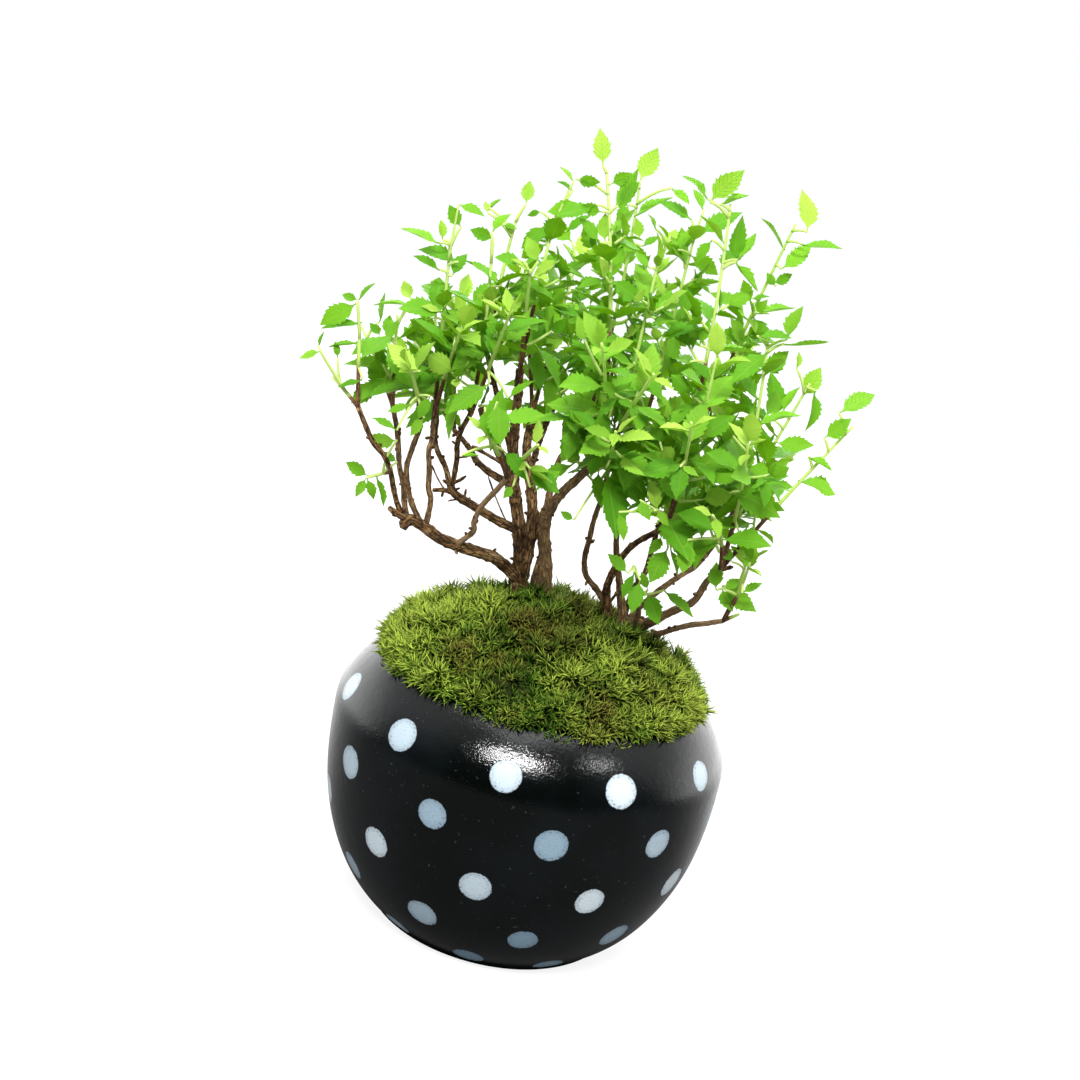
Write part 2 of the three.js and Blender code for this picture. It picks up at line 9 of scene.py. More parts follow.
import bpy
import numpy as np
from mathutils import Matrix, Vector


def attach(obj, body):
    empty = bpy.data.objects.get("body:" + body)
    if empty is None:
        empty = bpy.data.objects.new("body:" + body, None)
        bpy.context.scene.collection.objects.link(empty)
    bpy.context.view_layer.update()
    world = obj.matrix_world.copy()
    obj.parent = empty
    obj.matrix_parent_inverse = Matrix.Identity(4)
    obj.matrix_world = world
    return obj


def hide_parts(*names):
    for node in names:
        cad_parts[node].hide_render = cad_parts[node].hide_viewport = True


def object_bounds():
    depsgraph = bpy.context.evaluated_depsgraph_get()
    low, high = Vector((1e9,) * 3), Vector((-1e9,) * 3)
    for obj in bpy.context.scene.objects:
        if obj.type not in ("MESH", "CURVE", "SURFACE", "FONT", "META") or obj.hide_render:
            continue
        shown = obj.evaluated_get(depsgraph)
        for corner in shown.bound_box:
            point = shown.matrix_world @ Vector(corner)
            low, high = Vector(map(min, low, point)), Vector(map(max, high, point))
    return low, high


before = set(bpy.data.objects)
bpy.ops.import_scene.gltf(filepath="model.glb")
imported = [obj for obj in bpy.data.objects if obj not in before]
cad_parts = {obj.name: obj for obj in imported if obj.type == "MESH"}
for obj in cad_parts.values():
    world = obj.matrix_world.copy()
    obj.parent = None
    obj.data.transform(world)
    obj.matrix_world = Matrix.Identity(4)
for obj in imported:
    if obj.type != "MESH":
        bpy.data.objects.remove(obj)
cad_box = [list(corner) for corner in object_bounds()]

# The pot: a hand-thrown ball of dark stoneware, about 90 mm across, under a satin
# charcoal glaze. Its lip is rolled, and its flat foot has three drain holes.
MM = 0.001
POT_RADIUS = 45.0
POT_WALL = 4.4
POT_FLOOR = 5.0
POT_FOOT_BEVEL = 1.0
LIP_RADIUS = 2.0
LIP_MIDDLE = (35.1, 58.9)
LIP_STARTS_AT = 48
# The height where the pot is widest, and the curves of its wall above and below that, on
# the outside and the inside: how far each would reach, and its power.
POT_WIDEST = 45.5
POT_UPPER = (26.5, 1.913)
POT_LOWER = (52.6, 2.469)
INNER_UPPER = (24.2, 1.913)
INNER_LOWER = (49.0, 2.469)
DRAIN_RADIUS = 3.2
DRAIN_RING = 10.0
DRAIN_ANGLES = (90, 210, 330)
THROWING_WAVES = 0.1
POT_COLUMNS = 360
POT_ROWS = 112
INNER_ROWS = 26


def superellipse(height, widest, upper, lower):
    """Radius of the pot's wall at each height: above and below the widest place it
    follows |r/widest|^p + |rise/reach|^p = 1, each half with its own reach and power."""
    reach = np.where(height > POT_WIDEST, upper[0], lower[0])
    power = np.where(height > POT_WIDEST, upper[1], lower[1])
    return widest * (1 - (np.abs(height - POT_WIDEST) / reach) ** power) ** (1 / power)


def arc(middle, radius, start, end, count):
    """Points on a circle in the profile's plane, from one angle to another, in degrees."""
    angle = np.radians(np.linspace(start, end, count))
    return np.stack([middle[0] + radius * np.cos(angle), middle[1] + radius * np.sin(angle)], 1)


def wall_line(heights, widest, upper, lower):
    """The part of the profile that follows a superellipse at these heights."""
    return np.stack([superellipse(heights, widest, upper, lower), heights], 1)


def skin(rings, sides):
    """Faces of a round form that is closed at both ends. Point 0 is one end, then come
    the rings, each with this many sides, and the last point is the other end."""
    k = np.arange(sides)
    after = (k + 1) % sides
    ring = 1 + sides * np.arange(rings - 1)[:, None]
    quads = np.stack([ring + k, ring + after, ring + sides + after, ring + sides + k], -1)
    top = 1 + sides * (rings - 1)
    caps = np.vstack([np.stack([after + 1, k + 1, 0 * k], 1),
                      np.stack([top + k, top + after, 0 * k + top + sides], 1)])
    return [quads.reshape(-1, 4), caps]


def turned(profile, sides):
    """A profile that starts and ends on the axis, carried round it: point k of ring i is
    (r cos, r sin, z). The two ends become one point each. Gives points and faces."""
    angle = np.linspace(0, 2 * np.pi, sides, endpoint=False)
    rings = profile[1:-1]
    body = np.stack([rings[:, :1] * np.cos(angle), rings[:, :1] * np.sin(angle),
                     np.repeat(rings[:, 1:], sides, 1)], -1)
    points = np.vstack([[[0, 0, profile[0, 1]]], body.reshape(-1, 3), [[0, 0, profile[-1, 1]]]])
    return points, skin(len(rings), sides)


def piece_of(name, points, faces, finish, slot, replaced=(), **values):
    """A mesh piece from arrays: points in millimetres, a list of face arrays, and named
    numbers that its finish reads at each point. It rides with the whole object."""
    mesh = bpy.data.meshes.new(name)
    mesh.from_pydata(points * MM, [], [row for block in faces for row in block.tolist()])
    for label, numbers in values.items():
        kind = "FLOAT_VECTOR" if np.ndim(numbers) == 2 else "FLOAT"
        field = mesh.attributes.new(label, kind, "POINT")
        field.data.foreach_set("vector" if np.ndim(numbers) == 2 else "value", np.ravel(numbers))
    mesh.shade_smooth()
    mesh.materials.append(finish.material)
    made = bpy.data.objects.new(name, mesh)
    bpy.context.scene.collection.objects.link(made)
    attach(made, "root")
    if replaced:
        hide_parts(*replaced)
    return made


class Wire:
    """One output of a shader node. Plain arithmetic on it adds Math nodes."""

    def __init__(self, finish, socket):
        self.finish, self.socket = finish, socket

    def math(self, operation, *terms):
        """Any of Blender's Math operations on these terms."""
        return self.finish.node("Math", {"operation": operation}, *terms)

    def __add__(self, other):
        return self.math("ADD", self, other)

    def __radd__(self, other):
        return self.math("ADD", other, self)

    def __sub__(self, other):
        return self.math("SUBTRACT", self, other)

    def __rsub__(self, other):
        return self.math("SUBTRACT", other, self)

    def __mul__(self, other):
        return self.math("MULTIPLY", self, other)

    def __rmul__(self, other):
        return self.math("MULTIPLY", other, self)

    def __pow__(self, other):
        return self.math("POWER", self, other)


class Finish:
    """A material that is being made up, with one method for every kind of node."""

    def __init__(self, name, kinds=bpy.data.materials):
        self.material = kinds.new(name)
        self.material.use_nodes = True
        self.tree = self.material.node_tree
        self.tree.nodes.clear()

    def node(self, kind, settings=None, *ordered, out=None, **named):
        """Adds a node: its settings first, then its sockets in order or by name."""
        made = self.tree.nodes.new("ShaderNode" + kind)
        for key, value in (settings or {}).items():
            if key == "stops":
                set_stops(made.color_ramp, value)
            else:
                setattr(made, key, value)
        sockets = [s for s in made.inputs if s.enabled]
        wanted = list(zip(sockets, ordered))
        wanted += [(next(s for s in sockets if s.name == key.replace("_", " ")), value)
                   for key, value in named.items()]
        for socket, value in wanted:
            if isinstance(value, Wire):
                self.tree.links.new(value.socket, socket)
            elif isinstance(value, tuple) and len(value) == 3 and socket.type == "RGBA":
                socket.default_value = (*value, 1)
            else:
                socket.default_value = value
        outputs = [s for s in made.outputs if s.enabled or s.name == out]
        return Wire(self, next((s for s in outputs if out in (s.name, None)), None))

    def read(self, label, out="Fac"):
        """The numbers that a mesh holds under this name at each point."""
        return self.node("Attribute", {"attribute_name": label}, out=out)

    def place(self):
        """The place on the piece, in millimetres."""
        metres = self.node("TexCoord", out="Object")
        return self.node("VectorMath", {"operation": "SCALE"}, metres, Scale=1 / MM)

    def noise(self, where, scale, detail=3.0, roughness=0.55):
        """Cloudy noise from 0 to 1, with its scale in waves to the millimetre."""
        return self.node("TexNoise", Vector=where, Scale=scale, Detail=detail, Roughness=roughness)

    def step(self, value, low, high):
        """0 below one limit, 1 above the other, and smooth between them."""
        return self.node("MapRange", {"interpolation_type": "SMOOTHSTEP"},
                         Value=value, From_Min=low, From_Max=high)

    def blend(self, share, first, second):
        """One colour turning into another: first + share (second - first)."""
        return self.node("Mix", {"data_type": "RGBA"}, share, first, second)

    def bump(self, height, distance, strength=1.0):
        """A relief of this many millimetres."""
        return self.node("Bump", None, Strength=strength, Distance=distance * MM, Height=height)

    def principled(self, **sockets):
        """The shader that most finishes are made with."""
        return self.node("BsdfPrincipled", None, **sockets)

    def surface(self, shader):
        """Shows this shader on whatever has the finish."""
        self.node("OutputMaterial", None, Surface=shader)


def set_stops(ramp, stops):
    """A colour ramp's stops, as places and colours."""
    while len(ramp.elements) < len(stops):
        ramp.elements.new(1.0)
    for element, (place, colour) in zip(ramp.elements, stops):
        element.position = place
        element.color = (*colour, 1)


# The glaze: charcoal, slightly cloudy, pitted like orange peel. The dots are brushed on
# in five staggered rows of eleven. The slip is thin, so some are white, others blue-grey.
DOTS_IN_ROW = 11
# Each row: its height, the angle of its first dot, and how white its slip is.
DOT_ROWS = (
    (52.15, -158.8, 0.62), (39.7, -143.0, 0.30), (26.5, -160.2, 0.72), (14.1, -142.8, 0.26),
    (3.6, -159, 0.2),
)
DOT_RADIUS = 3.45
DOT_PLAY = 0.18
SLIP_PLAY = 0.16
GLAZE_DARK = (0.0006, 0.0012, 0.0010)
GLAZE_CLOUD = (0.0024, 0.0038, 0.0046)
GLAZE_SPECKLE = (0.11, 0.12, 0.13)
SLIP_WHITE = (0.58, 0.65, 0.68)
SLIP_BLUE = (0.12, 0.21, 0.285)
SLIP_THIN = (0.045, 0.07, 0.10)


def dot_field(points):
    """For each point of the pot, how far it is from the middle of the nearest dot, in
    that dot's radii, and how white that dot is."""
    rows = np.repeat(np.arange(len(DOT_ROWS)), DOTS_IN_ROW)
    turn = np.tile(np.arange(DOTS_IN_ROW), len(DOT_ROWS))
    height, first, slip = np.array(DOT_ROWS)[rows].T
    angle = np.radians(first + 360 * turn / DOTS_IN_ROW)
    radius = superellipse(height, POT_RADIUS, POT_UPPER, POT_LOWER)
    middles = np.stack([radius * np.cos(angle), radius * np.sin(angle), height], 1)
    sizes = DOT_RADIUS + DOT_PLAY * np.sin(2.7 * turn + 1.9 * rows)
    white = slip + SLIP_PLAY * np.sin(1.81 * turn + 5.8 * rows + 2.29)
    distances = [np.linalg.norm(points - middle, axis=1) / size for middle, size in zip(middles, sizes)]
    return np.min(distances, 0), white[np.argmin(distances, 0)]


lip_start = LIP_MIDDLE[1] + LIP_RADIUS * math.sin(math.radians(LIP_STARTS_AT))
foot_edge = superellipse(np.array(POT_FOOT_BEVEL), POT_RADIUS, POT_UPPER, POT_LOWER) - POT_FOOT_BEVEL
floor_edge = superellipse(np.array(POT_FLOOR), POT_RADIUS - POT_WALL, INNER_UPPER, INNER_LOWER) - 2
inner_heights = np.linspace(LIP_MIDDLE[1] - 1, POT_FLOOR + 3, INNER_ROWS)
pot_profile = np.vstack([
    [[0, 0]],
    np.stack([np.linspace(5, foot_edge, 6), np.zeros(6)], 1),
    arc((foot_edge, POT_FOOT_BEVEL), POT_FOOT_BEVEL, -60, -20, 3),
    wall_line(np.linspace(POT_FOOT_BEVEL, lip_start, POT_ROWS), POT_RADIUS, POT_UPPER, POT_LOWER),
    arc(LIP_MIDDLE, LIP_RADIUS, LIP_STARTS_AT + 12, 180, 9),
    wall_line(inner_heights, POT_RADIUS - POT_WALL, INNER_UPPER, INNER_LOWER),
    [[floor_edge, POT_FLOOR], [16, POT_FLOOR], [5, POT_FLOOR], [0, POT_FLOOR]],
])
pot_points, pot_faces = turned(pot_profile, POT_COLUMNS)

# Throwing leaves the wall a little uneven: three slow waves round it and up it, on the
# outside only, where the points lie beyond the middle of the wall.
pot_x, pot_y, pot_z = pot_points.T
pot_angle = np.arctan2(pot_y, pot_x)
mid_wall = superellipse(np.clip(pot_z, 1, 60), POT_RADIUS - POT_WALL / 2, INNER_UPPER, INNER_LOWER)
waves = (np.sin(3 * pot_angle + 0.06 * pot_z) + np.sin(2 * pot_angle - 0.17 * pot_z + 1)
         + np.sin(5 * pot_angle + 0.3 * pot_z + 2)) / 3
unevenness = 1 + THROWING_WAVES * waves * (np.hypot(pot_x, pot_y) > mid_wall) / POT_RADIUS
pot_points[:, :2] *= unevenness[:, None]
dot_distance, dot_white = dot_field(pot_points)

glaze = Finish("charcoal_glaze")
spot = glaze.place()
cloud = glaze.noise(spot, 0.05, 4)
speckle = glaze.noise(spot, 0.9, 2)
brushed = glaze.read("dot_distance") + 0.16 * (glaze.noise(spot, 0.6, 4, 0.65) - 0.5)
dot = 1 - glaze.step(brushed, 0.95, 1.03)
rubbed = glaze.step(brushed, 0.55, 1.0)
thin = rubbed * 0.4 + glaze.step(glaze.noise(spot, 2.4, 3, 0.7), 0.54, 0.64) * (0.35 + 0.9 * rubbed)
body = glaze.blend(glaze.step(cloud, 0.35, 0.75), GLAZE_DARK, GLAZE_CLOUD)
body = glaze.blend(glaze.step(speckle, 0.68, 0.76) * 0.2, body, GLAZE_SPECKLE)
slip = glaze.blend(glaze.read("dot_white"), SLIP_BLUE, SLIP_WHITE)
slip = glaze.blend(thin * 0.62, slip, SLIP_THIN)
colour = glaze.blend(dot, body, slip)
peel = glaze.noise(spot, 0.45, 2, 0.4)
grainy = glaze.noise(spot, 2.2, 2, 0.6)
relief = glaze.bump(peel * 0.30 + grainy * 0.30 + dot * 0.12, 0.30, 0.6)
glaze.surface(glaze.principled(
    Base_Color=colour,
    Roughness=0.07 + 0.07 * cloud + 0.25 * dot + 0.06 * speckle,
    Specular_IOR_Level=0.36,
    Normal=relief,
))
pot = piece_of("pot_thrown", pot_points, pot_faces, glaze, "pot_glaze", ["pot"],
               dot_distance=dot_distance, dot_white=dot_white)


def drilled(piece, radius, middles, depth):
    """Round holes of this radius through the piece, straight up at each place."""
    for x, y in middles:
        bpy.ops.mesh.primitive_cylinder_add(vertices=40, radius=radius * MM, depth=depth * MM,
                                            location=(x * MM, y * MM, 0))
        drill = bpy.context.object
        cut = piece.modifiers.new("drain", "BOOLEAN")
        cut.solver = "EXACT"
        cut.object = drill
        bpy.context.view_layer.update()
        graph = bpy.context.evaluated_depsgraph_get()
        bored = bpy.data.meshes.new_from_object(piece.evaluated_get(graph), depsgraph=graph)
        piece.modifiers.remove(cut)
        piece.data = bored
        bpy.data.objects.remove(drill)


drain_turns = np.radians(DRAIN_ANGLES)
drain_middles = DRAIN_RING * np.stack([np.cos(drain_turns), np.sin(drain_turns)], 1)
drilled(pot, DRAIN_RADIUS, drain_middles, 4 * POT_FLOOR)

# Inside lie a moulded black net over the drain holes, and gritty potting soil up to
# just under the lip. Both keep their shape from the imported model.
net_finish = Finish("moulded_net")
net_place = net_finish.place()
net_worn = net_finish.noise(net_place, 0.3)
net_finish.surface(net_finish.principled(
    Base_Color=net_finish.blend(net_worn, (0.012, 0.012, 0.013), (0.03, 0.03, 0.032)),
    Roughness=0.42 + 0.2 * net_finish.noise(net_place, 0.8),
    Normal=net_finish.bump(net_finish.noise(net_place, 2.5), 0.03),
))
soil_finish = Finish("potting_grit")
soil_place = soil_finish.place()
grain = soil_finish.node("TexVoronoi", out="Distance", Vector=soil_place, Scale=0.55)
grain_colour = soil_finish.node("TexVoronoi", out="Color", Vector=soil_place, Scale=0.55)
grain_tone = soil_finish.node("SeparateColor", None, Color=grain_colour)
soil_finish.surface(soil_finish.principled(
    Base_Color=soil_finish.node("ValToRGB", {"stops": [
        (0.0, (0.018, 0.012, 0.008)), (0.45, (0.06, 0.036, 0.022)), (1.0, (0.2, 0.14, 0.09))]}, grain_tone),
    Roughness=0.95,
    Normal=soil_finish.bump(1 - grain, 0.7),
))
for node, finish, slot in (("drain_net", net_finish, "net_plastic"), ("soil", soil_finish, "soil_grit")):
    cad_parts[node].material_slots[0].material = finish.material

# The moss mat: a low dome of living moss pressed on the soil and rolled over the lip.
# Under the tufts it is brown and matted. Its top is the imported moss's, sunk by 1.6 mm.
MOSS_DOME = (54.1, 21.8)
MOSS_SUNK = 1.6
MOSS_UNDER = 55.8
MOSS_ROLL = 2.5
MOSS_RIM = 35.6
MAT_COLUMNS = 150
MAT_ROWS = 48
CLUMP_FEET = {"main": (-6.8, 8.4), "side": (15.6, 8.4)}
# How deep the moss dips round each clump's foot, and the mound in front of the trunk:
# its middle, its height and the square of its spread.
MOSS_DIPS = {"main": 0.9, "side": 2.4}
DIP_SPREAD = 70
FOOT_MOUND = (-6.5, 3.5, 3.0, 22)


def hump(x, y, middle, spread):
    """A soft hump that is 1 at its middle: e to the minus squared distance over spread."""
    return np.exp(-((x - middle[0]) ** 2 + (y - middle[1]) ** 2) / spread)


def moss_height(x, y):
    """The dome z = c + sqrt(R^2 - x^2 - y^2), with three crossing waves for its lumps,
    a soft hollow where each clump stands, and a mound at the foot of the trunk."""
    dome = MOSS_DOME[1] + np.sqrt(MOSS_DOME[0] ** 2 - x ** 2 - y ** 2)
    lumps = (np.sin(0.34 * x + 0.9) * np.cos(0.31 * y - 0.4) + 0.6 * np.sin(0.42 * x - 0.39 * y)
             + 0.3 * np.cos(0.9 * y + 0.6 * x))
    mound = FOOT_MOUND[2] * hump(x, y, FOOT_MOUND[:2], FOOT_MOUND[3])
    dips = sum(MOSS_DIPS[clump] * hump(x, y, foot, DIP_SPREAD) for clump, foot in CLUMP_FEET.items())
    return dome + lumps + mound - dips


mat_profile = np.vstack([
    [[0, MOSS_UNDER], [20, MOSS_UNDER], [LIP_MIDDLE[0] - LIP_RADIUS - 0.8, MOSS_UNDER]],
    arc(LIP_MIDDLE, MOSS_ROLL, 180, 88, 9),
    [[MOSS_RIM, 61.2], [MOSS_RIM - 0.6, 61.6]],
    np.stack([np.linspace(MOSS_RIM - 1.4, 0, MAT_ROWS), np.full(MAT_ROWS, np.inf)], 1),
])
mat_points, mat_faces = turned(mat_profile, MAT_COLUMNS)
on_top = np.isinf(mat_points[:, 2])
top_x, top_y = mat_points[on_top, :2].T
mat_points[on_top, 2] = (moss_height(top_x, top_y) - MOSS_SUNK
                         + 0.25 * np.sin(2.3 * top_x) * np.sin(2.1 * top_y + 1))
thatch = Finish("moss_thatch")
thatch_mix = thatch.noise(thatch.place(), 0.7, 4)
thatch.surface(thatch.principled(
    Base_Color=thatch.node("ValToRGB", {"stops": [
        (0.3, (0.006, 0.010, 0.002)), (0.55, (0.016, 0.026, 0.005)),
        (0.75, (0.045, 0.030, 0.010))]}, thatch_mix),
    Roughness=0.95,
    Specular_IOR_Level=0.05,
    Normal=thatch.bump(thatch_mix, 0.8),
))
piece_of("moss_mat", mat_points, mat_faces, thatch, "moss_green", ["moss"])

# The moss itself: some twelve hundred tufts, each a star of needle leaves about 4 mm
# long. Young tufts are yellow-green, shaded ones dark, and old ones brown at the tips.
TUFT_PITCH = 2.0
TUFT_PARTING = 3.2
GOLDEN_ANGLE = 137.5
NEEDLES = 28
NEEDLE_LENGTH = 4.1
NEEDLE_RADIUS = 0.24
TUFT_REACH = 36.3
TUFT_SUNK = 0.9
TUFT_EDGE = 34.4
BRIGHT_RISE = 1.1
ABOVE_POT = 0.7
MOSS_PARTS = 3
# Patches that show on the dome. Each row: middle x and y, spread, and how much brighter
# and browner the tufts are there.
MOSS_PATCHES = (
    (-27, -6, 10, 0.6, 0.0), (-31, 8, 9, 0.5, 0.0), (-14, -3, 6, 0.55, 0.0), (13, -16, 5.5, 0.85, 0.0),
    (30, -8, 8, 0.6, 0.05), (28, -20, 8, 0.45, 0.1), (24, -16, 5, 0.1, 0.35), (14, -29, 6, 0.15, 0.35),
    (8, -24, 5, 0.4, 0.0), (1, -12, 8, -0.85, 0.55), (-7, -14, 5, -0.6, 0.4), (-17, -21, 4, -0.3, 0.5),
    (-8, -25, 5, -0.5, 0.3), (-6, -30, 7, -0.6, 0.0), (-6, 5, 8, -0.8, 0.0), (6, 0, 7, -0.4, 0.25),
    (24, -2, 6, -0.3, 0.1), (-14, 18, 10, -0.1, 0.0), (10, 26, 12, 0.2, 0.1), (-20, 30, 10, 0.3, 0.0),
    (20, 14, 8, -0.3, 0.2), (-24, -22, 6, 0.3, 0.0),
)


def tuft_places(random):
    """Middles of the tufts: a jittered triangular grid over the dome, seen from above,
    and closer together towards the edge, where the dome is steep."""
    steps = np.arange(-TUFT_REACH, TUFT_REACH, TUFT_PITCH)
    x, y = np.meshgrid(steps, steps * math.sqrt(3) / 2 * 1.15)
    x = x + (np.arange(len(y)) % 2)[:, None] * TUFT_PITCH / 2
    spots = np.stack([x.ravel(), y.ravel()], 1) + random.uniform(-0.75, 0.75, (x.size, 2))
    distance = np.hypot(*spots.T)
    spots = spots[distance < TUFT_REACH - 2]
    edge = np.linspace(0, 2 * np.pi, 100, endpoint=False)
    rim = [np.stack([r * np.cos(edge + turn), r * np.sin(edge + turn)], 1)
           for r, turn in ((33.2, 0), (34.5, 0.025), (35.3, 0))]
    rim = np.vstack(rim) + random.uniform(-0.5, 0.5, (3 * len(edge), 2))
    return np.vstack([spots, rim])


def moss_moods(x, y, random):
    """Brightness from 0 to 1 and brownness from 0 to 1 at each place, from slow waves,
    the patches that show on the dome, and some play from tuft to tuft."""
    bright = 0.12 + 0.2 * np.sin(0.31 * x + 1) * np.cos(0.27 * y) + random.normal(0, 0.29, len(x))
    brown = 0.06 + 0.1 * np.sin(0.33 * x + 0.27 * y) + random.normal(0, 0.12, len(x))
    for px, py, spread, more_bright, more_brown in MOSS_PATCHES:
        near = hump(x, y, (px, py), 2 * (spread * 0.6) ** 2)
        bright = bright + more_bright * near
        brown = brown + more_brown * near
    return np.clip(bright, 0, 1), np.clip(brown, 0, 1)


def unit(vectors):
    """The same directions with a length of one."""
    return vectors / np.linalg.norm(vectors, axis=-1, keepdims=True)


def spikes(roots, directions, bends, lengths, radius):
    """Closed needles with three sides: a root ring, a middle ring that has swung a little
    towards the bend, and a point that has swung further. All are made as whole arrays."""
    side = unit(np.cross(directions, bends + 0.01))
    other = np.cross(directions, side)
    corner = np.radians([90, 210, 330])
    ring = (side[:, None] * np.cos(corner)[:, None] + other[:, None] * np.sin(corner)[:, None])
    middle = roots + (directions * 0.55 + bends * 0.06) * lengths[:, None]
    tips = roots + (directions * 0.95 + bends * 0.30) * lengths[:, None]
    points = np.concatenate([roots[:, None] + ring * radius, middle[:, None] + ring * radius * 0.85,
                             tips[:, None]], 1)
    k = np.arange(3)
    after = (k + 1) % 3
    sides = np.stack([k, after, after + 3, k + 3], 1)
    ends = np.vstack([np.stack([k + 3, after + 3, 0 * k + 6], 1), [[2, 1, 0]]])
    start = 7 * np.arange(len(roots))[:, None, None]
    return points.reshape(-1, 3), [(sides + start).reshape(-1, 4), (ends + start).reshape(-1, 3)]


tuft_random = np.random.default_rng(41)
tufts = tuft_places(tuft_random)
for foot in CLUMP_FEET.values():
    tufts = tufts[np.hypot(tufts[:, 0] - foot[0], tufts[:, 1] - foot[1]) > TUFT_PARTING]
tuft_x, tuft_y = tufts.T
tuft_out = np.hypot(tuft_x, tuft_y)
tuft_bright, tuft_brown = moss_moods(tuft_x, tuft_y, tuft_random)

# Past the dome's edge a tuft takes the edge's height and slope, and hangs a little.
pulled_in = np.minimum(tuft_out, TUFT_EDGE) / tuft_out
held_x, held_y = tuft_x * pulled_in, tuft_y * pulled_in
tuft_z = (moss_height(held_x, held_y) - MOSS_SUNK - TUFT_SUNK
          + BRIGHT_RISE * (tuft_bright - 0.5) + tuft_random.normal(0, 0.75, len(tufts)))
tuft_z = tuft_z - np.maximum(tuft_out - TUFT_EDGE, 0) * 1.3
east = moss_height(held_x + 0.5, held_y) - moss_height(held_x - 0.5, held_y)
north = moss_height(held_x, held_y + 0.5) - moss_height(held_x, held_y - 0.5)
tuft_up = unit(np.stack([-east, -north, np.ones(len(tufts))], 1))
outward = np.stack([tuft_x, tuft_y, 0 * tuft_x], 1) / tuft_out[:, None]
flow_x, flow_y = np.sin(0.38 * tuft_x + 0.21 * tuft_y + 1), np.cos(0.33 * tuft_y - 0.26 * tuft_x)
at_edge = np.clip((tuft_out - 32) / 3, 0, 1)
tuft_up = unit(tuft_up + outward * (0.1 + 0.75 * at_edge)[:, None]
               + tuft_random.normal(0, 0.25, (len(tufts), 3))
               + 0.42 * np.stack([flow_x, flow_y, 0 * tuft_x], 1))
tuft_size = (tuft_random.uniform(0.75, 1.15, len(tufts)) * (0.85 + 0.3 * tuft_bright)
             * (1 - 0.25 * at_edge))

needle_tuft = np.repeat(np.arange(len(tufts)), NEEDLES)
needle_turn = np.tile(np.radians(GOLDEN_ANGLE) * np.arange(NEEDLES), len(tufts)) + needle_tuft * 0.7
needle_lean = np.radians(np.tile(np.linspace(4, 66, NEEDLES), len(tufts))
                         + tuft_random.uniform(-15, 15, len(needle_tuft)))
needle_up = tuft_up[needle_tuft]
needle_side = unit(np.cross(needle_up, [0.31, 0.83, 0.12]))
needle_out = (needle_side * np.cos(needle_turn)[:, None]
              + np.cross(needle_up, needle_side) * np.sin(needle_turn)[:, None])
needle_way = needle_up * np.cos(needle_lean)[:, None] + needle_out * np.sin(needle_lean)[:, None]
needle_root = (np.stack([tuft_x, tuft_y, tuft_z], 1)[needle_tuft] + needle_out * 0.25
               + needle_up * np.cos(needle_lean)[:, None]
               + tuft_random.normal(0, 0.32, (len(needle_tuft), 3)) * (1, 1, 0))
needle_length = NEEDLE_LENGTH * tuft_size[needle_tuft] * tuft_random.uniform(0.55, 1.2, len(needle_tuft))

moss_leaf = Finish("moss_needles")
# Each needle darkens nearly to black towards its root. This is partly the moss's older growth low down and
# partly painted shade deep among the tufts.
old_and_shaded_root_fade = moss_leaf.read("up_needle") ** 2.7
dark_green = moss_leaf.blend(old_and_shaded_root_fade, (0.003, 0.009, 0.0003), (0.038, 0.14, 0.003))
young_green = moss_leaf.blend(old_and_shaded_root_fade, (0.008, 0.026, 0.0006), (0.62, 0.83, 0.095))
dry_brown = moss_leaf.blend(old_and_shaded_root_fade, (0.010, 0.006, 0.001), (0.26, 0.15, 0.035))
moss_colour = moss_leaf.blend(moss_leaf.read("brightness"), dark_green, young_green)
moss_colour = moss_leaf.blend(moss_leaf.read("brownness"), moss_colour, dry_brown)
moss_skin = moss_leaf.principled(Base_Color=moss_colour, Roughness=0.65, Specular_IOR_Level=0.12)
moss_glow = moss_leaf.node("BsdfTranslucent", None, Color=(0.16, 0.30, 0.01))
moss_leaf.surface(moss_leaf.node("MixShader", None, 0.14, moss_skin, moss_glow))

# A needle is left out where its tip would dip into the pot's shoulder or lip. Those in the
# middle of a tuft are brighter and paler, with less of the painted shade at their roots, and each needle's
# seven points share its colour.
inner = np.clip(1 - needle_lean / math.radians(50), 0, 1)
needle_tip = needle_root + (needle_way * 0.95 + needle_out * 0.3) * needle_length[:, None]
tip_out = np.hypot(needle_tip[:, 0], needle_tip[:, 1])
reach, power = POT_UPPER
shoulder = POT_WIDEST + reach * (1 - np.clip(tip_out / POT_RADIUS, 0, 1) ** power) ** (1 / power)
lip = LIP_MIDDLE[1] + np.sqrt(np.clip(LIP_RADIUS ** 2 - (tip_out - LIP_MIDDLE[0]) ** 2, 0, None))
over_soil = tip_out < LIP_MIDDLE[0] - LIP_RADIUS
is_above = over_soil | (needle_tip[:, 2] > np.maximum(shoulder, lip) + ABOVE_POT)
for part in range(MOSS_PARTS):
    mine = is_above & (needle_tuft % MOSS_PARTS == part)
    spike_points, spike_faces = spikes(needle_root[mine], needle_way[mine], needle_out[mine],
                                       needle_length[mine], NEEDLE_RADIUS)
    count = mine.sum()
    up_needle = np.tile([0, 0, 0, 0.55, 0.55, 0.55, 1.0], count)
    paler = np.outer(inner[mine], [0.3, 0.3, 0.3, 0.2, 0.2, 0.2, 0]).ravel()
    bright = tuft_bright[needle_tuft[mine]] + 0.25 * inner[mine] + tuft_random.normal(0, 0.15, count)
    brown = tuft_brown[needle_tuft[mine]] + tuft_random.normal(0, 0.1, count)
    piece_of(f"moss_tufts_{'abc'[part]}", spike_points, spike_faces, moss_leaf, "moss_green",
             up_needle=up_needle + paler, brightness=np.repeat(np.clip(bright, 0, 1), 7),
             brownness=np.repeat(np.clip(brown, 0, 1), 7))

# The wood: two clumps of thin old stems on one low root each, with flaky brown bark,
# old bud rings and short dead stubs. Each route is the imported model's own, and so are
# the tips of the shoots that it carries.

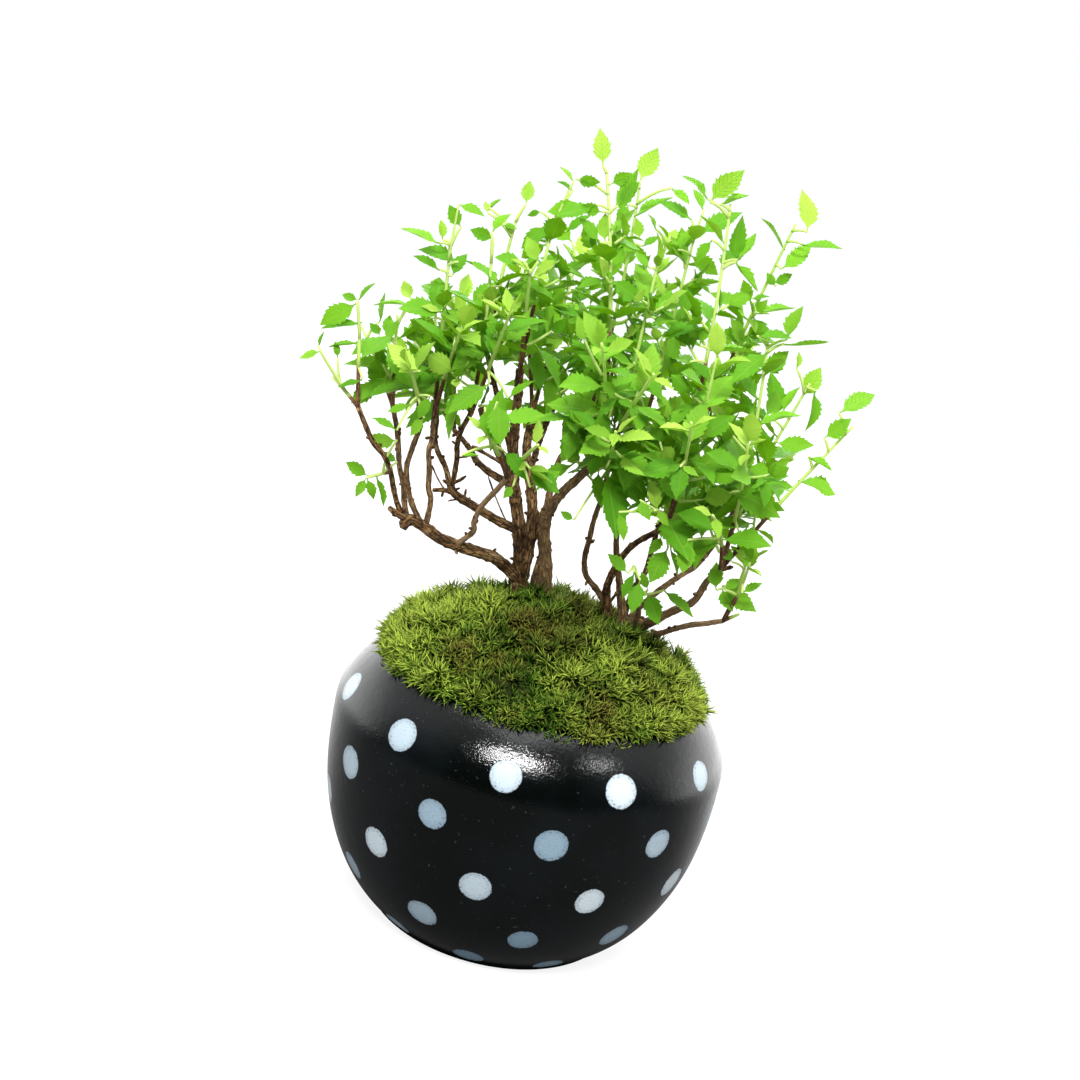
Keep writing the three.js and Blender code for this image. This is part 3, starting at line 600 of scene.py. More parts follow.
# Each row: a branch's name, its clump, its radii at both ends, its route, and those tips.
BRANCHES = (
    ("stem_left", "main", (1.9, 0.9), (
        (-7.5, 8.8, 68), (-10, 8, 77.5), (-11, 8, 83), (-13, 7, 91), (-15.5, 7, 98), (-17.5, 5, 107.5),
        (-18.5, 3, 117), (-19.5, 1, 126)), ((-19, 11, 168), (-21, -20, 155))),
    ("stem_middle", "main", (1.4, 0.9), (
        (-9.5, 8, 78), (-9.5, 6, 87.5), (-10, 5, 92.5), (-11, 7, 96.5), (-13, 10, 101.5),
        (-15, 13, 106.5), (-15.5, 17, 113.5)), ((-29, 28, 152), (-13, 38, 156))),
    ("stem_right", "main", (1.8, 0.8), (
        (-5.4, 8.2, 68), (-4.3, 8, 76.5), (-5, 7, 83), (-6.5, 6, 89), (-7, 5, 93), (-6.5, 3, 96.5),
        (-5, 0, 101), (-1.5, -5, 107.5), (1.5, -10, 113.5)),
     ((-13, -4, 179), (-5, -42, 146), (9, -44, 142))),
    ("fork_right", "main", (0.9, 0.6), (
        (-6.8, 5.6, 91), (-7.5, 8, 96.5), (-7.5, 12, 101), (-7, 17, 105.5), (-3.5, 22, 109.5)),
     ((-4, 10, 177), (7, 26, 167))),
    ("limb_low", "main", (1.35, 1.2), (
        (-9, 8, 76.5), (-15, 6, 81), (-18, 4, 82.5), (-25, 1, 84), (-29.5, -1, 85.5), (-33, -2, 87.5),
        (-36, -3, 88.5), (-37.5, -4, 87)), ()),
    ("limb_low_stub", "main", (0.8, 0.58), (
        (-36, -3, 88.2), (-38.5, -4.4, 89.4), (-41, -4.6, 90.6)), ()),
    ("low_1", "main", (0.66, 0.58), (
        (-32.5, -2, 87.6), (-32.5, -3, 94), (-33.5, -3, 96.5), (-34, -3, 100), (-35, -3, 104.5),
        (-35, -2, 107.5), (-35.5, -2, 112)), ((-40, -4, 158), (-30, -26, 141))),
    ("low_2", "main", (0.66, 0.58), (
        (-33.5, -2, 87.8), (-36, -5, 92.5), (-37.5, -6, 96), (-38.5, -8, 101), (-38, -9, 106),
        (-37, -10, 111.5)), ((-42, -28, 130),)),
    ("low_3", "main", (0.66, 0.58), (
        (-36.6, -3, 88), (-38.5, -1, 92), (-39.5, 1, 95), (-41.5, 3, 98.5), (-43.5, 5, 105),
        (-46, 7, 110.5)), ((-51, 10, 149), (-63, 20, 130))),
    ("low_4", "main", (0.62, 0.58), (
        (-37, -3.4, 88), (-39, -4, 91), (-40.5, -5, 94.5), (-42, -6, 99), (-44, -7, 102.5),
        (-47, -8, 105.5), (-51, -9, 112)), ((-65, -8, 121), (-55, -6, 137), (-49, -14, 96))),
    ("grey_twig", "main", (0.66, 0.58), (
        (-25.5, 1, 84), (-22, -3, 89), (-22, -5, 92), (-21, -8, 96.5), (-18, -13, 102.5),
        (-16.5, -16, 106)), ((-26, -36, 122), (-9, -44, 122))),
    ("limb_mid", "main", (1.05, 0.9), (
        (-12.6, 7.2, 88.8), (-18, 6, 90.5), (-21.5, 5, 92), (-25, 4, 93.5), (-28, 3, 95),
        (-29.5, 3, 96.5)), ()),
    ("limb_mid_stub", "main", (0.6, 0.45), (
        (-28, 3, 95), (-30.5, 2.6, 95.4), (-33, 2.8, 94.8)), ()),
    ("mid_1", "main", (0.62, 0.58), (
        (-29.3, 3, 96), (-31.5, 5, 100), (-34, 7, 102.5), (-35.5, 9, 105), (-36, 10, 109)),
     ((-46, 24, 142),)),
    ("mid_2", "main", (0.62, 0.58), (
        (-29, 3, 96), (-29, 1, 103), (-29.5, 0, 107), (-29, -2, 111), (-27.5, -4, 115.5)),
     ((-31, -8, 158), (-21, -32, 147))),
    ("limb_back_left", "main", (0.9, 0.58), (
        (-15.6, 7.4, 98.6), (-21.5, 11, 99.5), (-25.5, 15, 100.5), (-28.5, 19, 102.5), (-33, 24, 104.5)),
     ((-53, 36, 121), (-40, 46, 139))),
    ("limb_back", "main", (0.9, 0.58), (
        (-12.5, 9, 100), (-13, 14, 101.5), (-13, 20, 104.5), (-12.5, 28, 108.5)),
     ((-22, 50, 145), (-4, 54, 139))),
    ("left_high", "main", (0.7, 0.58), (
        (-17.5, 5, 106), (-21, 3, 114), (-24, 1, 121), (-27, -1, 128)), ((-26, 1, 166),)),
    ("side_1", "side", (0.75, 0.58), (
        (14, 9, 68), (12, 9, 73.4), (8.4, 8.6, 78.4), (4.8, 7.2, 82), (3.5, 6, 86), (3.5, 4, 91),
        (3.5, 2, 96.5), (4, -2, 102.5)), ((3, -44, 128), (4, -15, 163))),
    ("side_2", "side", (0.95, 0.6), (
        (14, 9, 68), (11.5, 9, 74), (10, 8, 80), (10.5, 6, 85), (12, 3, 90.5), (14, 0, 94.5),
        (17, -4, 98.5), (19, -8, 102)), ((15, -2, 178), (16, -42, 135), (19, -28, 149), (12, -38, 111))),
    ("side_3", "side", (0.95, 0.55), (
        (15.6, 9, 67), (15, 9, 73.5), (13.5, 9.6, 78.5), (12, 10.6, 83), (10, 12, 89), (9, 14, 95),
        (9.5, 17, 100)), ((11, 11, 170), (11, 48, 132))),
    ("side_4", "side", (1.1, 0.65), (
        (16, 8, 68), (17.5, 7, 72.5), (20, 5, 74.5), (22.5, 2, 77.5), (25, 0, 80.5), (29, -3, 85),
        (30.5, -5, 90.5), (32.5, -7, 94.5)),
     ((28, -16, 154), (56, -6, 138), (28, -32, 133), (23, -38, 115))),
    ("side_5", "side", (0.75, 0.58), (
        (17, 8, 66), (19.6, 7, 70.6), (23, 4, 73), (26, 1, 76), (29.5, -2, 79), (33, -4, 81),
        (36, -6, 83)), ((52, -4, 117), (43, -14, 91), (36, -24, 107))),
    ("side_6", "side", (0.8, 0.58), (
        (16.4, 9, 68), (17, 10, 73.5), (18.5, 12, 76), (22.5, 14, 81), (26, 17, 84), (29, 20, 86),
        (31.5, 23, 89)), ((46, 18, 142), (47, 36, 118))),
    ("side_7", "side", (0.7, 0.58), (
        (15.4, 9.4, 68), (16, 13, 78.5), (18, 17, 82.5), (18.5, 21, 85), (19, 27, 90)),
     ((33, 10, 176), (31, 42, 142), (32, 50, 109))),
    ("side_8", "side", (0.66, 0.58), (
        (16.6, 7, 69), (18, 2, 76), (17.4, -4, 81.6), (16.4, -8, 86)), ((19, -18, 82), (12, -32, 99))),
)
# The low roots that the clumps stand on: heights, and the radius at each.
COLLAR_ROWS = 34
COLLARS = {
    "main": ((62, 3.6), (70, 4.5), (72.6, 4.4), (74.2, 3.2), (75.2, 1.5)),
    "side": ((60, 3.8), (66, 4.4), (69, 4.2), (70.4, 3.0), (71.4, 1.3)),
}
# Three shoots as they show: the point before each one's foot, its foot and its tip.
SHOWN = {
    "shoot_side_5_a": ((33, -4, 81), (36, -6, 83), (37, -9, 108)),
    "shoot_low_3_a": ((-43.5, 5, 105), (-46, 7, 110.5), (-50, 10, 138)),
    "shoot_low_4_c": ((-40.5, -5, 100), (-42, -6, 99), (-50, -8, 95.2)),
}
# Dead stubs and bare twigs: foot and tip in pixels of the photo, and radius.
DEAD_TWIGS = (
    (452, 485, 443, 480, 0.45), (455, 484, 466, 476, 0.4), (454, 489, 460, 488, 0.3),
    (463, 500, 466, 489, 0.4), (462, 502, 448, 501, 0.25), (446, 488, 432, 465, 0.22),
    (402, 516, 392, 515, 0.28), (408, 526, 402, 528, 0.5), (455, 548, 457, 554, 0.5),
    (374, 440, 366, 437, 0.35), (510, 521, 488, 476, 0.2), (512, 470, 472, 446, 0.5),
    (457, 457, 470, 456, 0.28), (473, 532, 469, 534, 0.6), (590, 541, 595, 540, 0.3),
    (603, 612, 600, 602, 0.5), (612, 603, 618, 591, 0.4), (606, 607, 611, 599, 0.5),
    (716, 571, 733, 567, 0.55), (520, 540, 512, 534, 0.5), (545, 556, 552, 550, 0.45),
    (531, 500, 536, 492, 0.4), (519, 562, 510, 558, 0.5), (540, 575, 549, 570, 0.45),
    (447, 467, 443, 463, 0.3), (432, 450, 427, 449, 0.35), (404, 486, 399, 484, 0.3),
    (457, 444, 452, 441, 0.3),
)
# Strands of the split trunk: radii at both ends, whether the far end joins a stem again,
# and a route in pixels of the photo. Each starts on a stem.
STRANDS = (
    (1.25, 0.85, True, ((519, 584), (522, 562), (528, 546), (537, 532), (545, 521))),
    (1.1, 0.7, True, ((533, 600), (535, 580), (538, 568), (543, 552), (547, 540))),
    (1.1, 0.85, True, ((545, 534), (538, 519), (532, 506), (528, 490))),
    (0.8, 0.6, True, ((538, 523), (545, 509), (550, 496))),
    (1.25, 0.8, False, ((517, 496), (508, 471), (498, 450), (489, 430), (481, 408))),
)
# How pale and grey the bark of some branches is.
PALE_BARK = {
    "grey_twig": 0.8, "stem_right": 0.3, "fork_right": 0.2, "low_1": 0.15, "low_2": 0.15, "low_3": 0.15,
    "side_1": 0.2, "side_3": 0.2, "side_4": 0.35, "side_5": 0.45, "side_6": 0.3, "side_8": 0.45,
}
# The camera that took the photo, fitted to the pot's outline, its lip and its dots: where
# it is, and how many degrees it is turned to the left, looks down and leans.
CAMERA_PLACE = np.array([0, -331.5, 183.7])
CAMERA_TURNED, CAMERA_DOWN, CAMERA_LEANING = 1.2386, 15.8006, 12.6464
FOCAL_PIXELS, FRAME_PIXELS = 1550, 1080
# A shoot's green length, its least woody share, and the length up to which it is woody
# for a small share only. Its knee: how far along, how high and how straight on it lies.
GREEN_LENGTH = 42
LEAST_WOODY = 0.3
SHORT_SHOOT = (22, 0.15)
KNEE = (0.42, 0.05, 0.1)
TIP_LEAF_LENGTH = 9.4
LEAF_ROOT = 0.4
GAP = 0.3
TWIG_RADII = (0.5, 0.42)
BUD_EVERY = 5.2
THICK_STEM = 0.9
BARK_RELIEF = 0.17
STUB_EVERY = 4.5
STUB_RADIUS = 0.34
LIMB_POINTS = 60


def spline(route, shares):
    """A smooth curve through the route's points: between two of them it is the cubic
    whose slope at each is half the way from the one before to the one after."""
    spots = np.array(route, float)
    spots = np.vstack([2 * spots[0] - spots[1], spots, 2 * spots[-1] - spots[-2]])
    at = np.asarray(shares) * (len(route) - 1)
    k = np.minimum(at.astype(int), len(route) - 2)
    t = (at - k)[:, None]
    before, start, end, after = spots[k], spots[k + 1], spots[k + 2], spots[k + 3]
    rise, fall = (end - before) / 2, (after - start) / 2
    return (start + rise * t + (3 * (end - start) - 2 * rise - fall) * t ** 2
            + (2 * (start - end) + rise + fall) * t ** 3)


def bow(ends, shares):
    """A point and a direction at each share of a shoot: the curve with one knee,
    (1-t)^2 a + 2t(1-t) b + t^2 c."""
    start, knee, tip = ends
    t = np.asarray(shares, float)[..., None]
    points = (1 - t) ** 2 * start + 2 * t * (1 - t) * knee + t ** 2 * tip
    return points, unit((1 - t) * (knee - start) + t * (tip - knee))


def camera_axes():
    """The camera's right, up and backward directions: one that looks straight down, tipped
    up until its view is CAMERA_DOWN below level, turned, and leant about its view."""
    turned = Matrix.Rotation(math.radians(CAMERA_TURNED), 3, "Z")
    tipped = Matrix.Rotation(math.radians(90 - CAMERA_DOWN), 3, "X")
    leant = Matrix.Rotation(math.radians(CAMERA_LEANING), 3, "Z")
    return np.array((turned @ tipped @ leant).transposed())


VIEW = camera_axes()


def pixels_of(points):
    """Where points show in the photo: their place across the view over their depth."""
    seen = (np.asarray(points) - CAMERA_PLACE) @ VIEW.T
    return FRAME_PIXELS / 2 + FOCAL_PIXELS * seen[..., :2] * (1, -1) / -seen[..., 2:]


def depth_of(points):
    """How far in front of the camera points lie, along its view."""
    return (CAMERA_PLACE - np.asarray(points)) @ VIEW[2]


def point_at(pixels, depth):
    """The point that shows at these pixels of the photo, at a depth."""
    across = (np.array(pixels, float) - FRAME_PIXELS / 2) * (1, -1) / FOCAL_PIXELS
    return CAMERA_PLACE + depth * (across @ VIEW[:2] - VIEW[2])


def shoot_route(before, end, tip):
    """How a shoot goes on from the end of its branch: bent, woody first and then green."""
    before, end, tip = (np.array(point, float) for point in (before, end, tip))
    heading = unit(end - before)
    reach = np.linalg.norm(tip - end)
    knee = end + KNEE[0] * (tip - end) + np.array([0, 0, KNEE[1] * reach]) + KNEE[2] * reach * heading
    woody = max(LEAST_WOODY, 1 - GREEN_LENGTH / reach) if reach > SHORT_SHOOT[0] else SHORT_SHOOT[1]
    stop = 1 - (TIP_LEAF_LENGTH - 2 * LEAF_ROOT) / reach
    return {"ends": (end, knee, tip), "reach": reach, "woody": woody,
            "start": woody + GAP / reach, "stop": stop}


def tube(line, radii, sides, rough=0.0, seed=0.0):
    """A round limb along a line of points, closed at both ends. Its radius swells and
    shrinks by bark: strips that wind along it, breaks across them, and rings at old
    buds. Gives points, faces, and each point's place on the bark if it lay flat."""
    along = np.concatenate([[0], np.cumsum(np.linalg.norm(np.diff(line, axis=0), axis=1))])
    forward = unit(np.gradient(line, axis=0))
    chord = np.abs(line[-1] - line[0])
    side = unit(np.cross(forward, np.eye(3)[np.argmin(chord)]))
    other = np.cross(forward, side)
    angle = np.linspace(0, 2 * np.pi, sides, endpoint=False)
    s, a = np.meshgrid(along, angle, indexing="ij")
    strips = (np.sin(4 * a + 1.2 * np.sin(0.7 * s + seed) + seed) * 0.6
              + np.sin(7 * a - 0.5 * s + 2 * seed) * 0.4)
    breaks = np.sin(2.1 * s + 2.2 * np.sin(2 * a + seed)) * np.sin(0.9 * s + a)
    buds = np.exp(-(((s + seed) % BUD_EVERY) - BUD_EVERY / 2) ** 2 / 0.18)
    smooth = np.asarray(radii)[:, None]
    radius = smooth * (1 + rough * (0.42 * strips + 0.42 * breaks + 0.8 * buds))
    body = (line[:, None] + side[:, None] * (radius * np.cos(a))[..., None]
            + other[:, None] * (radius * np.sin(a))[..., None])
    points = np.vstack([line[:1] - forward[:1] * radii[0] * 0.3, body.reshape(-1, 3),
                        line[-1:] + forward[-1:] * radii[-1] * 0.5])
    flat = np.stack([s + 7 * seed, smooth * np.cos(a), smooth * np.sin(a)], -1)
    flat = np.vstack([flat[0, :1], flat.reshape(-1, 3), flat[-1, :1]])
    return {"points": points, "faces": skin(len(line), sides), "flat": flat}


def gathered(parts):
    """Several parts as the arrays of one piece, with every list joined end to end."""
    starts = np.cumsum([0] + [len(part["points"]) for part in parts[:-1]])
    joined = {key: np.concatenate([part[key] for part in parts]) for key in parts[0] if key != "faces"}
    joined["faces"] = [block + start for part, start in zip(parts, starts) for block in part["faces"]]
    return joined


def tagged(part, **numbers):
    """The same part with these numbers at every one of its points."""
    count = len(part["points"])
    return part | {key: np.broadcast_to(value, count).astype(float) for key, value in numbers.items()}


def root_collar(rings, foot, seed):
    """The low root that a clump stands on: rings of a height and a radius, pulled into
    lobes where the stems leave it."""
    heights = np.linspace(rings[0][0], rings[-1][0], COLLAR_ROWS)
    radii = np.interp(heights, *zip(*rings))
    line = np.stack([0 * heights + foot[0], 0 * heights + foot[1], heights], 1)
    made = tube(line, radii, 30, 0.16, seed)
    away = made["points"][:, :2] - foot
    lobes = 1 + 0.12 * np.sin(3 * np.arctan2(away[:, 1], away[:, 0]) + seed)
    made["points"][:, :2] = foot + away * lobes[:, None]
    return made


def route_length(route):
    """The length of the straight lines between a route's points."""
    return np.linalg.norm(np.diff(np.array(route, float), axis=0), axis=1).sum()


def branch(route, radii, name, order):
    """A woody branch along its route. A thick one flares a little at its foot."""
    is_thick = radii[0] > THICK_STEM
    shares = np.linspace(0, 1, int(route_length(route) / 0.55))
    line = spline(route, shares)
    flare = 1 + 0.35 * np.exp(-np.maximum(line[:, 2] - 74, 0) / 3.5) * is_thick
    thickness = np.interp(shares, [0, 1], radii) * flare
    part = tube(line, thickness, 12 if is_thick else 9, BARK_RELIEF, order * 1.7)
    return tagged(part, young=0, grey=PALE_BARK.get(name, 0))


def stubs_of(route, radii, random):
    """Dead stubs and old buds along a branch: short, and thickest past their middle."""
    along = np.array([0, 0.3, 0.62, 0.9, 1.0])
    thickness = STUB_RADIUS * np.array([0.9, 0.85, 1.15, 0.9, 0.3])
    stubs = []
    for k in range(int(route_length(route) / STUB_EVERY)):
        share = random.uniform(0.1, 1)
        heading = unit(random.normal(0, 1, 3) + [0, 0, 0.7])
        length = random.uniform(0.6, 1.5) + 0.6 * np.interp(share, [0, 1], radii)
        line = spline(route, [share])[0] + heading * (along * length)[:, None]
        stubs.append(tagged(tube(line, thickness, 6, 0.1, k), young=0, grey=0))
    return stubs


def twig_of(shoot, seed):
    """The woody foot of a leafy shoot. Its bark is younger towards the tip."""
    count = max(6, int(shoot["woody"] * shoot["reach"] / 0.9))
    shares = np.linspace(0, shoot["woody"] + 0.2 / shoot["reach"], count)
    part = tube(bow(shoot["ends"], shares)[0], np.linspace(*TWIG_RADII, count), 7, 0.1, seed)
    points = len(part["points"])
    young = np.interp(np.arange(points), [0, points], [0.1, 1.0])
    return part | {"young": young, "grey": np.zeros(points)}


def nearest_limb(spot):
    """Which point of the woody branches shows nearest to this pixel of the photo."""
    return np.argmin(np.linalg.norm(pixels_of(limb_points) - spot, axis=1))


def dead_twig(start, tip, radius, order, random):
    """A bare twig or a stub from a branch to where its tip shows in the photo."""
    end = point_at(tip, depth_of(start) + random.uniform(-1.5, 1))
    length = np.linalg.norm(end - start)
    bend = unit(random.normal(0, 1, 3)) * 0.12 * length
    shares = np.linspace(0, 1, max(5, int(length / 0.6)))
    line = bow((start, (start + end) / 2 + bend, end), shares)[0]
    taper = radius * np.interp(shares, [0, 0.2, 0.7, 0.9, 1], [1.25, 0.9, 0.8, 1.15, 0.5])
    return tagged(tube(line, taper, 6, 0.22, order * 0.9), young=0, grey=0)


def strand(first, last, joins_again, route, order):
    """A strand of the split trunk, as deep as the stems that its ends stand on."""
    feet = route[0], route[-1] if joins_again else route[0]
    depths = [depth_of(limb_points[nearest_limb(spot)]) for spot in feet]
    line = [point_at(spot, depth) for spot, depth in zip(route, np.linspace(*depths, len(route)))]
    line = spline(line, np.linspace(0, 1, 30))
    return tagged(tube(line, np.linspace(first, last, 30), 10, 0.2, order * 2.3), young=0, grey=0.15)


bark = Finish("flaky_bark")
flat_bark = bark.read("flat", "Vector")
stretch = (0.24, 1.0, 1.0)
drawn_out = bark.node("VectorMath", {"operation": "MULTIPLY"}, flat_bark, stretch, out="Vector")
fissure = bark.noise(drawn_out, 2.2, 4)
flakes = bark.node("TexVoronoi", {"feature": "DISTANCE_TO_EDGE"}, out="Distance",
                   Vector=drawn_out, Scale=1.5)
patches = bark.noise(flat_bark, 0.35, 2)
bark_colour = bark.node("ValToRGB", {"stops": [
    (0.30, (0.016, 0.008, 0.004)), (0.45, (0.10, 0.050, 0.020)), (0.55, (0.28, 0.155, 0.060)),
    (0.68, (0.60, 0.40, 0.20))]}, fissure * 0.55 + patches * 0.45)
bark_colour = bark.blend(1 - bark.step(flakes, 0.0, 0.09) * 0.8, bark_colour, (0.02, 0.012, 0.009))
bark_colour = bark.blend(bark.read("young"), bark_colour, (0.19, 0.085, 0.045))
bark_colour = bark.blend(bark.read("grey"), bark_colour, (0.38, 0.25, 0.135))
bark.surface(bark.principled(
    Base_Color=bark_colour,
    Roughness=0.78 + 0.15 * fissure,
    Specular_IOR_Level=0.14,
    Normal=bark.bump(fissure * 0.6 + bark.step(flakes, 0, 0.12) * 0.4, 0.45),
))

shoots = []
for name, clump, radii, route, tips in BRANCHES:
    for letter, tip in zip("abcd", tips):
        node = f"shoot_{name}" + (f"_{letter}" if len(tips) > 1 else "")
        packed = (route[-2], route[-1], tip)
        shown = shoot_route(*SHOWN.get(node, packed))
        shoots.append(shoot_route(*packed) | {"node": node, "branch": name, "shown": shown})

limb_points = np.vstack([spline(row[3], np.linspace(0, 1, LIMB_POINTS)) for row in BRANCHES])
limb_clumps = np.repeat([row[1] for row in BRANCHES], LIMB_POINTS)
wood_random = np.random.default_rng(7)
for number, (clump, foot) in enumerate(CLUMP_FEET.items()):
    parts = [tagged(root_collar(COLLARS[clump], foot, number + 0.4), young=0, grey=0)]
    for order, (name, owner, radii, route, tips) in enumerate(BRANCHES):
        if owner == clump:
            parts.append(branch(route, radii, name, order))
            parts += stubs_of(route, radii, wood_random)
            parts += [twig_of(shoot["shown"], order) for shoot in shoots if shoot["branch"] == name]
    for order, (x, y, tip_x, tip_y, radius) in enumerate(DEAD_TWIGS):
        nearest = nearest_limb((x, y))
        if limb_clumps[nearest] == clump:
            parts.append(dead_twig(limb_points[nearest], (tip_x, tip_y), radius, order, wood_random))
    if clump == "main":
        parts += [strand(*row, order) for order, row in enumerate(STRANDS)]
    wood = gathered(parts)
    piece_of(f"wood_clump_{clump}", wood.pop("points"), wood.pop("faces"), bark, "bark",
             [f"wood_{clump}"], **wood)

# The leafy shoots: this year's pale green growth, with toothed leaves set round it at
# the golden angle, small young leaves at the tip, and side sprigs in the lower axils.
LEAF_LENGTH = 13.2
LEAF_LENGTH_LOSS = 4.2
LEAF_SPACING = 5.9
LEAF_THICKNESS = 0.3
SHOOT_RADII = (0.46, 0.28)
CLEARANCE = 1.2
STEM_ROOM = 0.5
STEM_SPOTS = 40
YOUNG_FROM = 0.35
FACING_UP = 0.9
SAG_DEPTH = 0.35
SAG_SHORTENING = 0.1
TURNS = (0, 22, -22, 44, -44, 66, -66, 88, -88)
# Who owns a taken spot, where it isn't a shoot.
WOOD, LEAF = -1, -2
# Spots on a leaf, along and across it, that have to clear other things.
LEAF_PROBES = np.array([
    (0.25, 0), (0.45, 0), (0.65, 0), (0.85, 0), (1, 0),
    (0.42, 0.36), (0.42, -0.36), (0.66, 0.3), (0.66, -0.3),
])


def drawing_from(seed):
    """A seeded draw between two limits, by the linear congruential series of the
    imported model, so that its leaves and these stand in the same places."""
    state = [seed]

    def draw(low, high):
        state[0] = (state[0] * 1664525 + 1013904223) % 2 ** 32
        return low + (high - low) * state[0] / 2 ** 32
    draw(0, 1)
    draw(0, 1)
    return draw


class Room:
    """The spots that a leaf has to clear: places, radii and the shoot that owns each."""

    def __init__(self, most=40000):
        self.spots, self.radii, self.owners = np.zeros((most, 3)), np.zeros(most), np.zeros(most, int)
        self.count = 0

    def take(self, spots, radius, owner):
        """Adds spots with a radius, and who owns them."""
        many = slice(self.count, self.count + len(spots))
        self.spots[many], self.radii[many], self.owners[many] = spots, radius, owner
        self.count += len(spots)

    def take_branches(self):
        """Adds the woody branches."""
        for name, clump, radii, route, tips in BRANCHES:
            shares = np.linspace(0, 1, 4 * (len(route) - 1) + 1)
            self.take(spline(route, shares), np.interp(shares, [0, 1], radii), WOOD)

    def take_stem(self, shoot, owner):
        """Adds a shoot's stem: its foot as wood, and the rest as the shoot's own."""
        shares = shoot["stop"] * np.arange(STEM_SPOTS + 1) / STEM_SPOTS
        owners = np.where(shares > shoot["woody"], owner, WOOD)
        self.take(bow(shoot["ends"], shares)[0], STEM_ROOM, owners)

    def is_clear(self, probes, owner, clearance):
        """Whether probes stay this far from all that others own."""
        others = np.arange(self.count)[self.owners[:self.count] != owner]
        away = np.linalg.norm(probes[:, None] - self.spots[others], axis=2)
        return bool((away > self.radii[others] + clearance).all())


def leaf_frame(ends, share, azimuth, lean, is_tip, droop=0.0):
    """Where a leaf leaves its stem, its direction, and its upper side and breadth. Droop
    pulls the direction down by that share of its length."""
    at, along = (place[0] for place in bow(ends, [share]))
    chord = unit(ends[2] - ends[0])
    reference = np.array([1.0, 0, 0]) if abs(chord[2]) > 0.7 else np.array([0, 0, 1.0])
    sideways = unit(np.cross(chord, reference))
    outward = sideways * math.cos(azimuth) + np.cross(chord, sideways) * math.sin(azimuth)
    outward = unit(outward - along * (outward @ along))
    direction = unit(along * math.cos(lean) + outward * math.sin(lean) - [0, 0, droop])
    upper = outward if is_tip else along
    upper = unit(upper - direction * (upper @ direction))
    if not is_tip:
        upper = unit(upper + FACING_UP * (np.array([0, 0, 1.0]) - direction * direction[2]))
    return {"at": at, "direction": direction, "upper": upper, "across": unit(np.cross(direction, upper))}


def on_leaf(leaf, along, side, lift):
    """Places on an arched leaf: x along it and y across it, as shares of its length and
    its width, and a lift above its middle. It sags by the square of x."""
    length, sag = leaf["length"], leaf["sag"]
    x, y = along[:, None], side[:, None]
    return (leaf["at"] + leaf["direction"] * (x * length * (1 - SAG_SHORTENING * sag * x))
            + leaf["across"] * (y * leaf["width"] * length)
            + leaf["upper"] * (lift[:, None] - SAG_DEPTH * sag * length * x ** 2))


def probes_of(leaf):
    """The spots of a leaf that have to clear other things."""
    return on_leaf(leaf, *LEAF_PROBES.T, np.zeros(len(LEAF_PROBES)))


def grow_leaves(shoot, room, owner, draw, full_length=LEAF_LENGTH, tip_length=TIP_LEAF_LENGTH,
                spacing=LEAF_SPACING, least=3, clearance=CLEARANCE, droop=0.0):
    """The leaves of one stem. One that would touch another is turned about the stem,
    and one that finds no room is left out."""
    reach, start, stop = shoot["reach"], shoot["start"], shoot["stop"]
    count = max(least, math.floor((stop - start) * reach / spacing + 0.5))
    leaves = []
    azimuth = draw(0, 2 * math.pi)
    for i in range(count + 1):
        is_tip = i == count
        age = 1.0 if is_tip else (i + 0.5) / count
        share = stop - LEAF_ROOT / reach if is_tip else start + (stop - start) * age
        azimuth += math.radians(GOLDEN_ANGLE) + draw(-0.25, 0.25)
        youth = max(0, (age - YOUNG_FROM) / (1 - YOUNG_FROM))
        length = (full_length - LEAF_LENGTH_LOSS * youth) * draw(0.88, 1.1)
        length = tip_length * draw(0.96, 1.08) if is_tip else length
        lean = math.radians(draw(3, 12) if is_tip else 66 - 26 * age + draw(-8, 8))
        width = draw(0.43, 0.52)
        sag = 0.1 if is_tip else draw(0.1, 0.8) * (1 - 0.6 * age)
        for turn in TURNS:
            leaf = leaf_frame(shoot["ends"], share, azimuth + math.radians(turn), lean, is_tip,
                              droop * (not is_tip))
            leaf |= {"length": length, "width": width, "sag": sag, "youth": age, "is_tip": is_tip}
            if room.is_clear(probes_of(leaf), owner, clearance):
                leaves.append(leaf)
                room.take(probes_of(leaf), clearance, LEAF)
                break
    return leaves


room = Room()
room.take_branches()
for owner, shoot in enumerate(shoots):
    room.take_stem(shoot, owner)
for owner, shoot in enumerate(shoots):
    shoot["leaves"] = grow_leaves(shoot, room, owner, drawing_from(7919 * owner + 17))

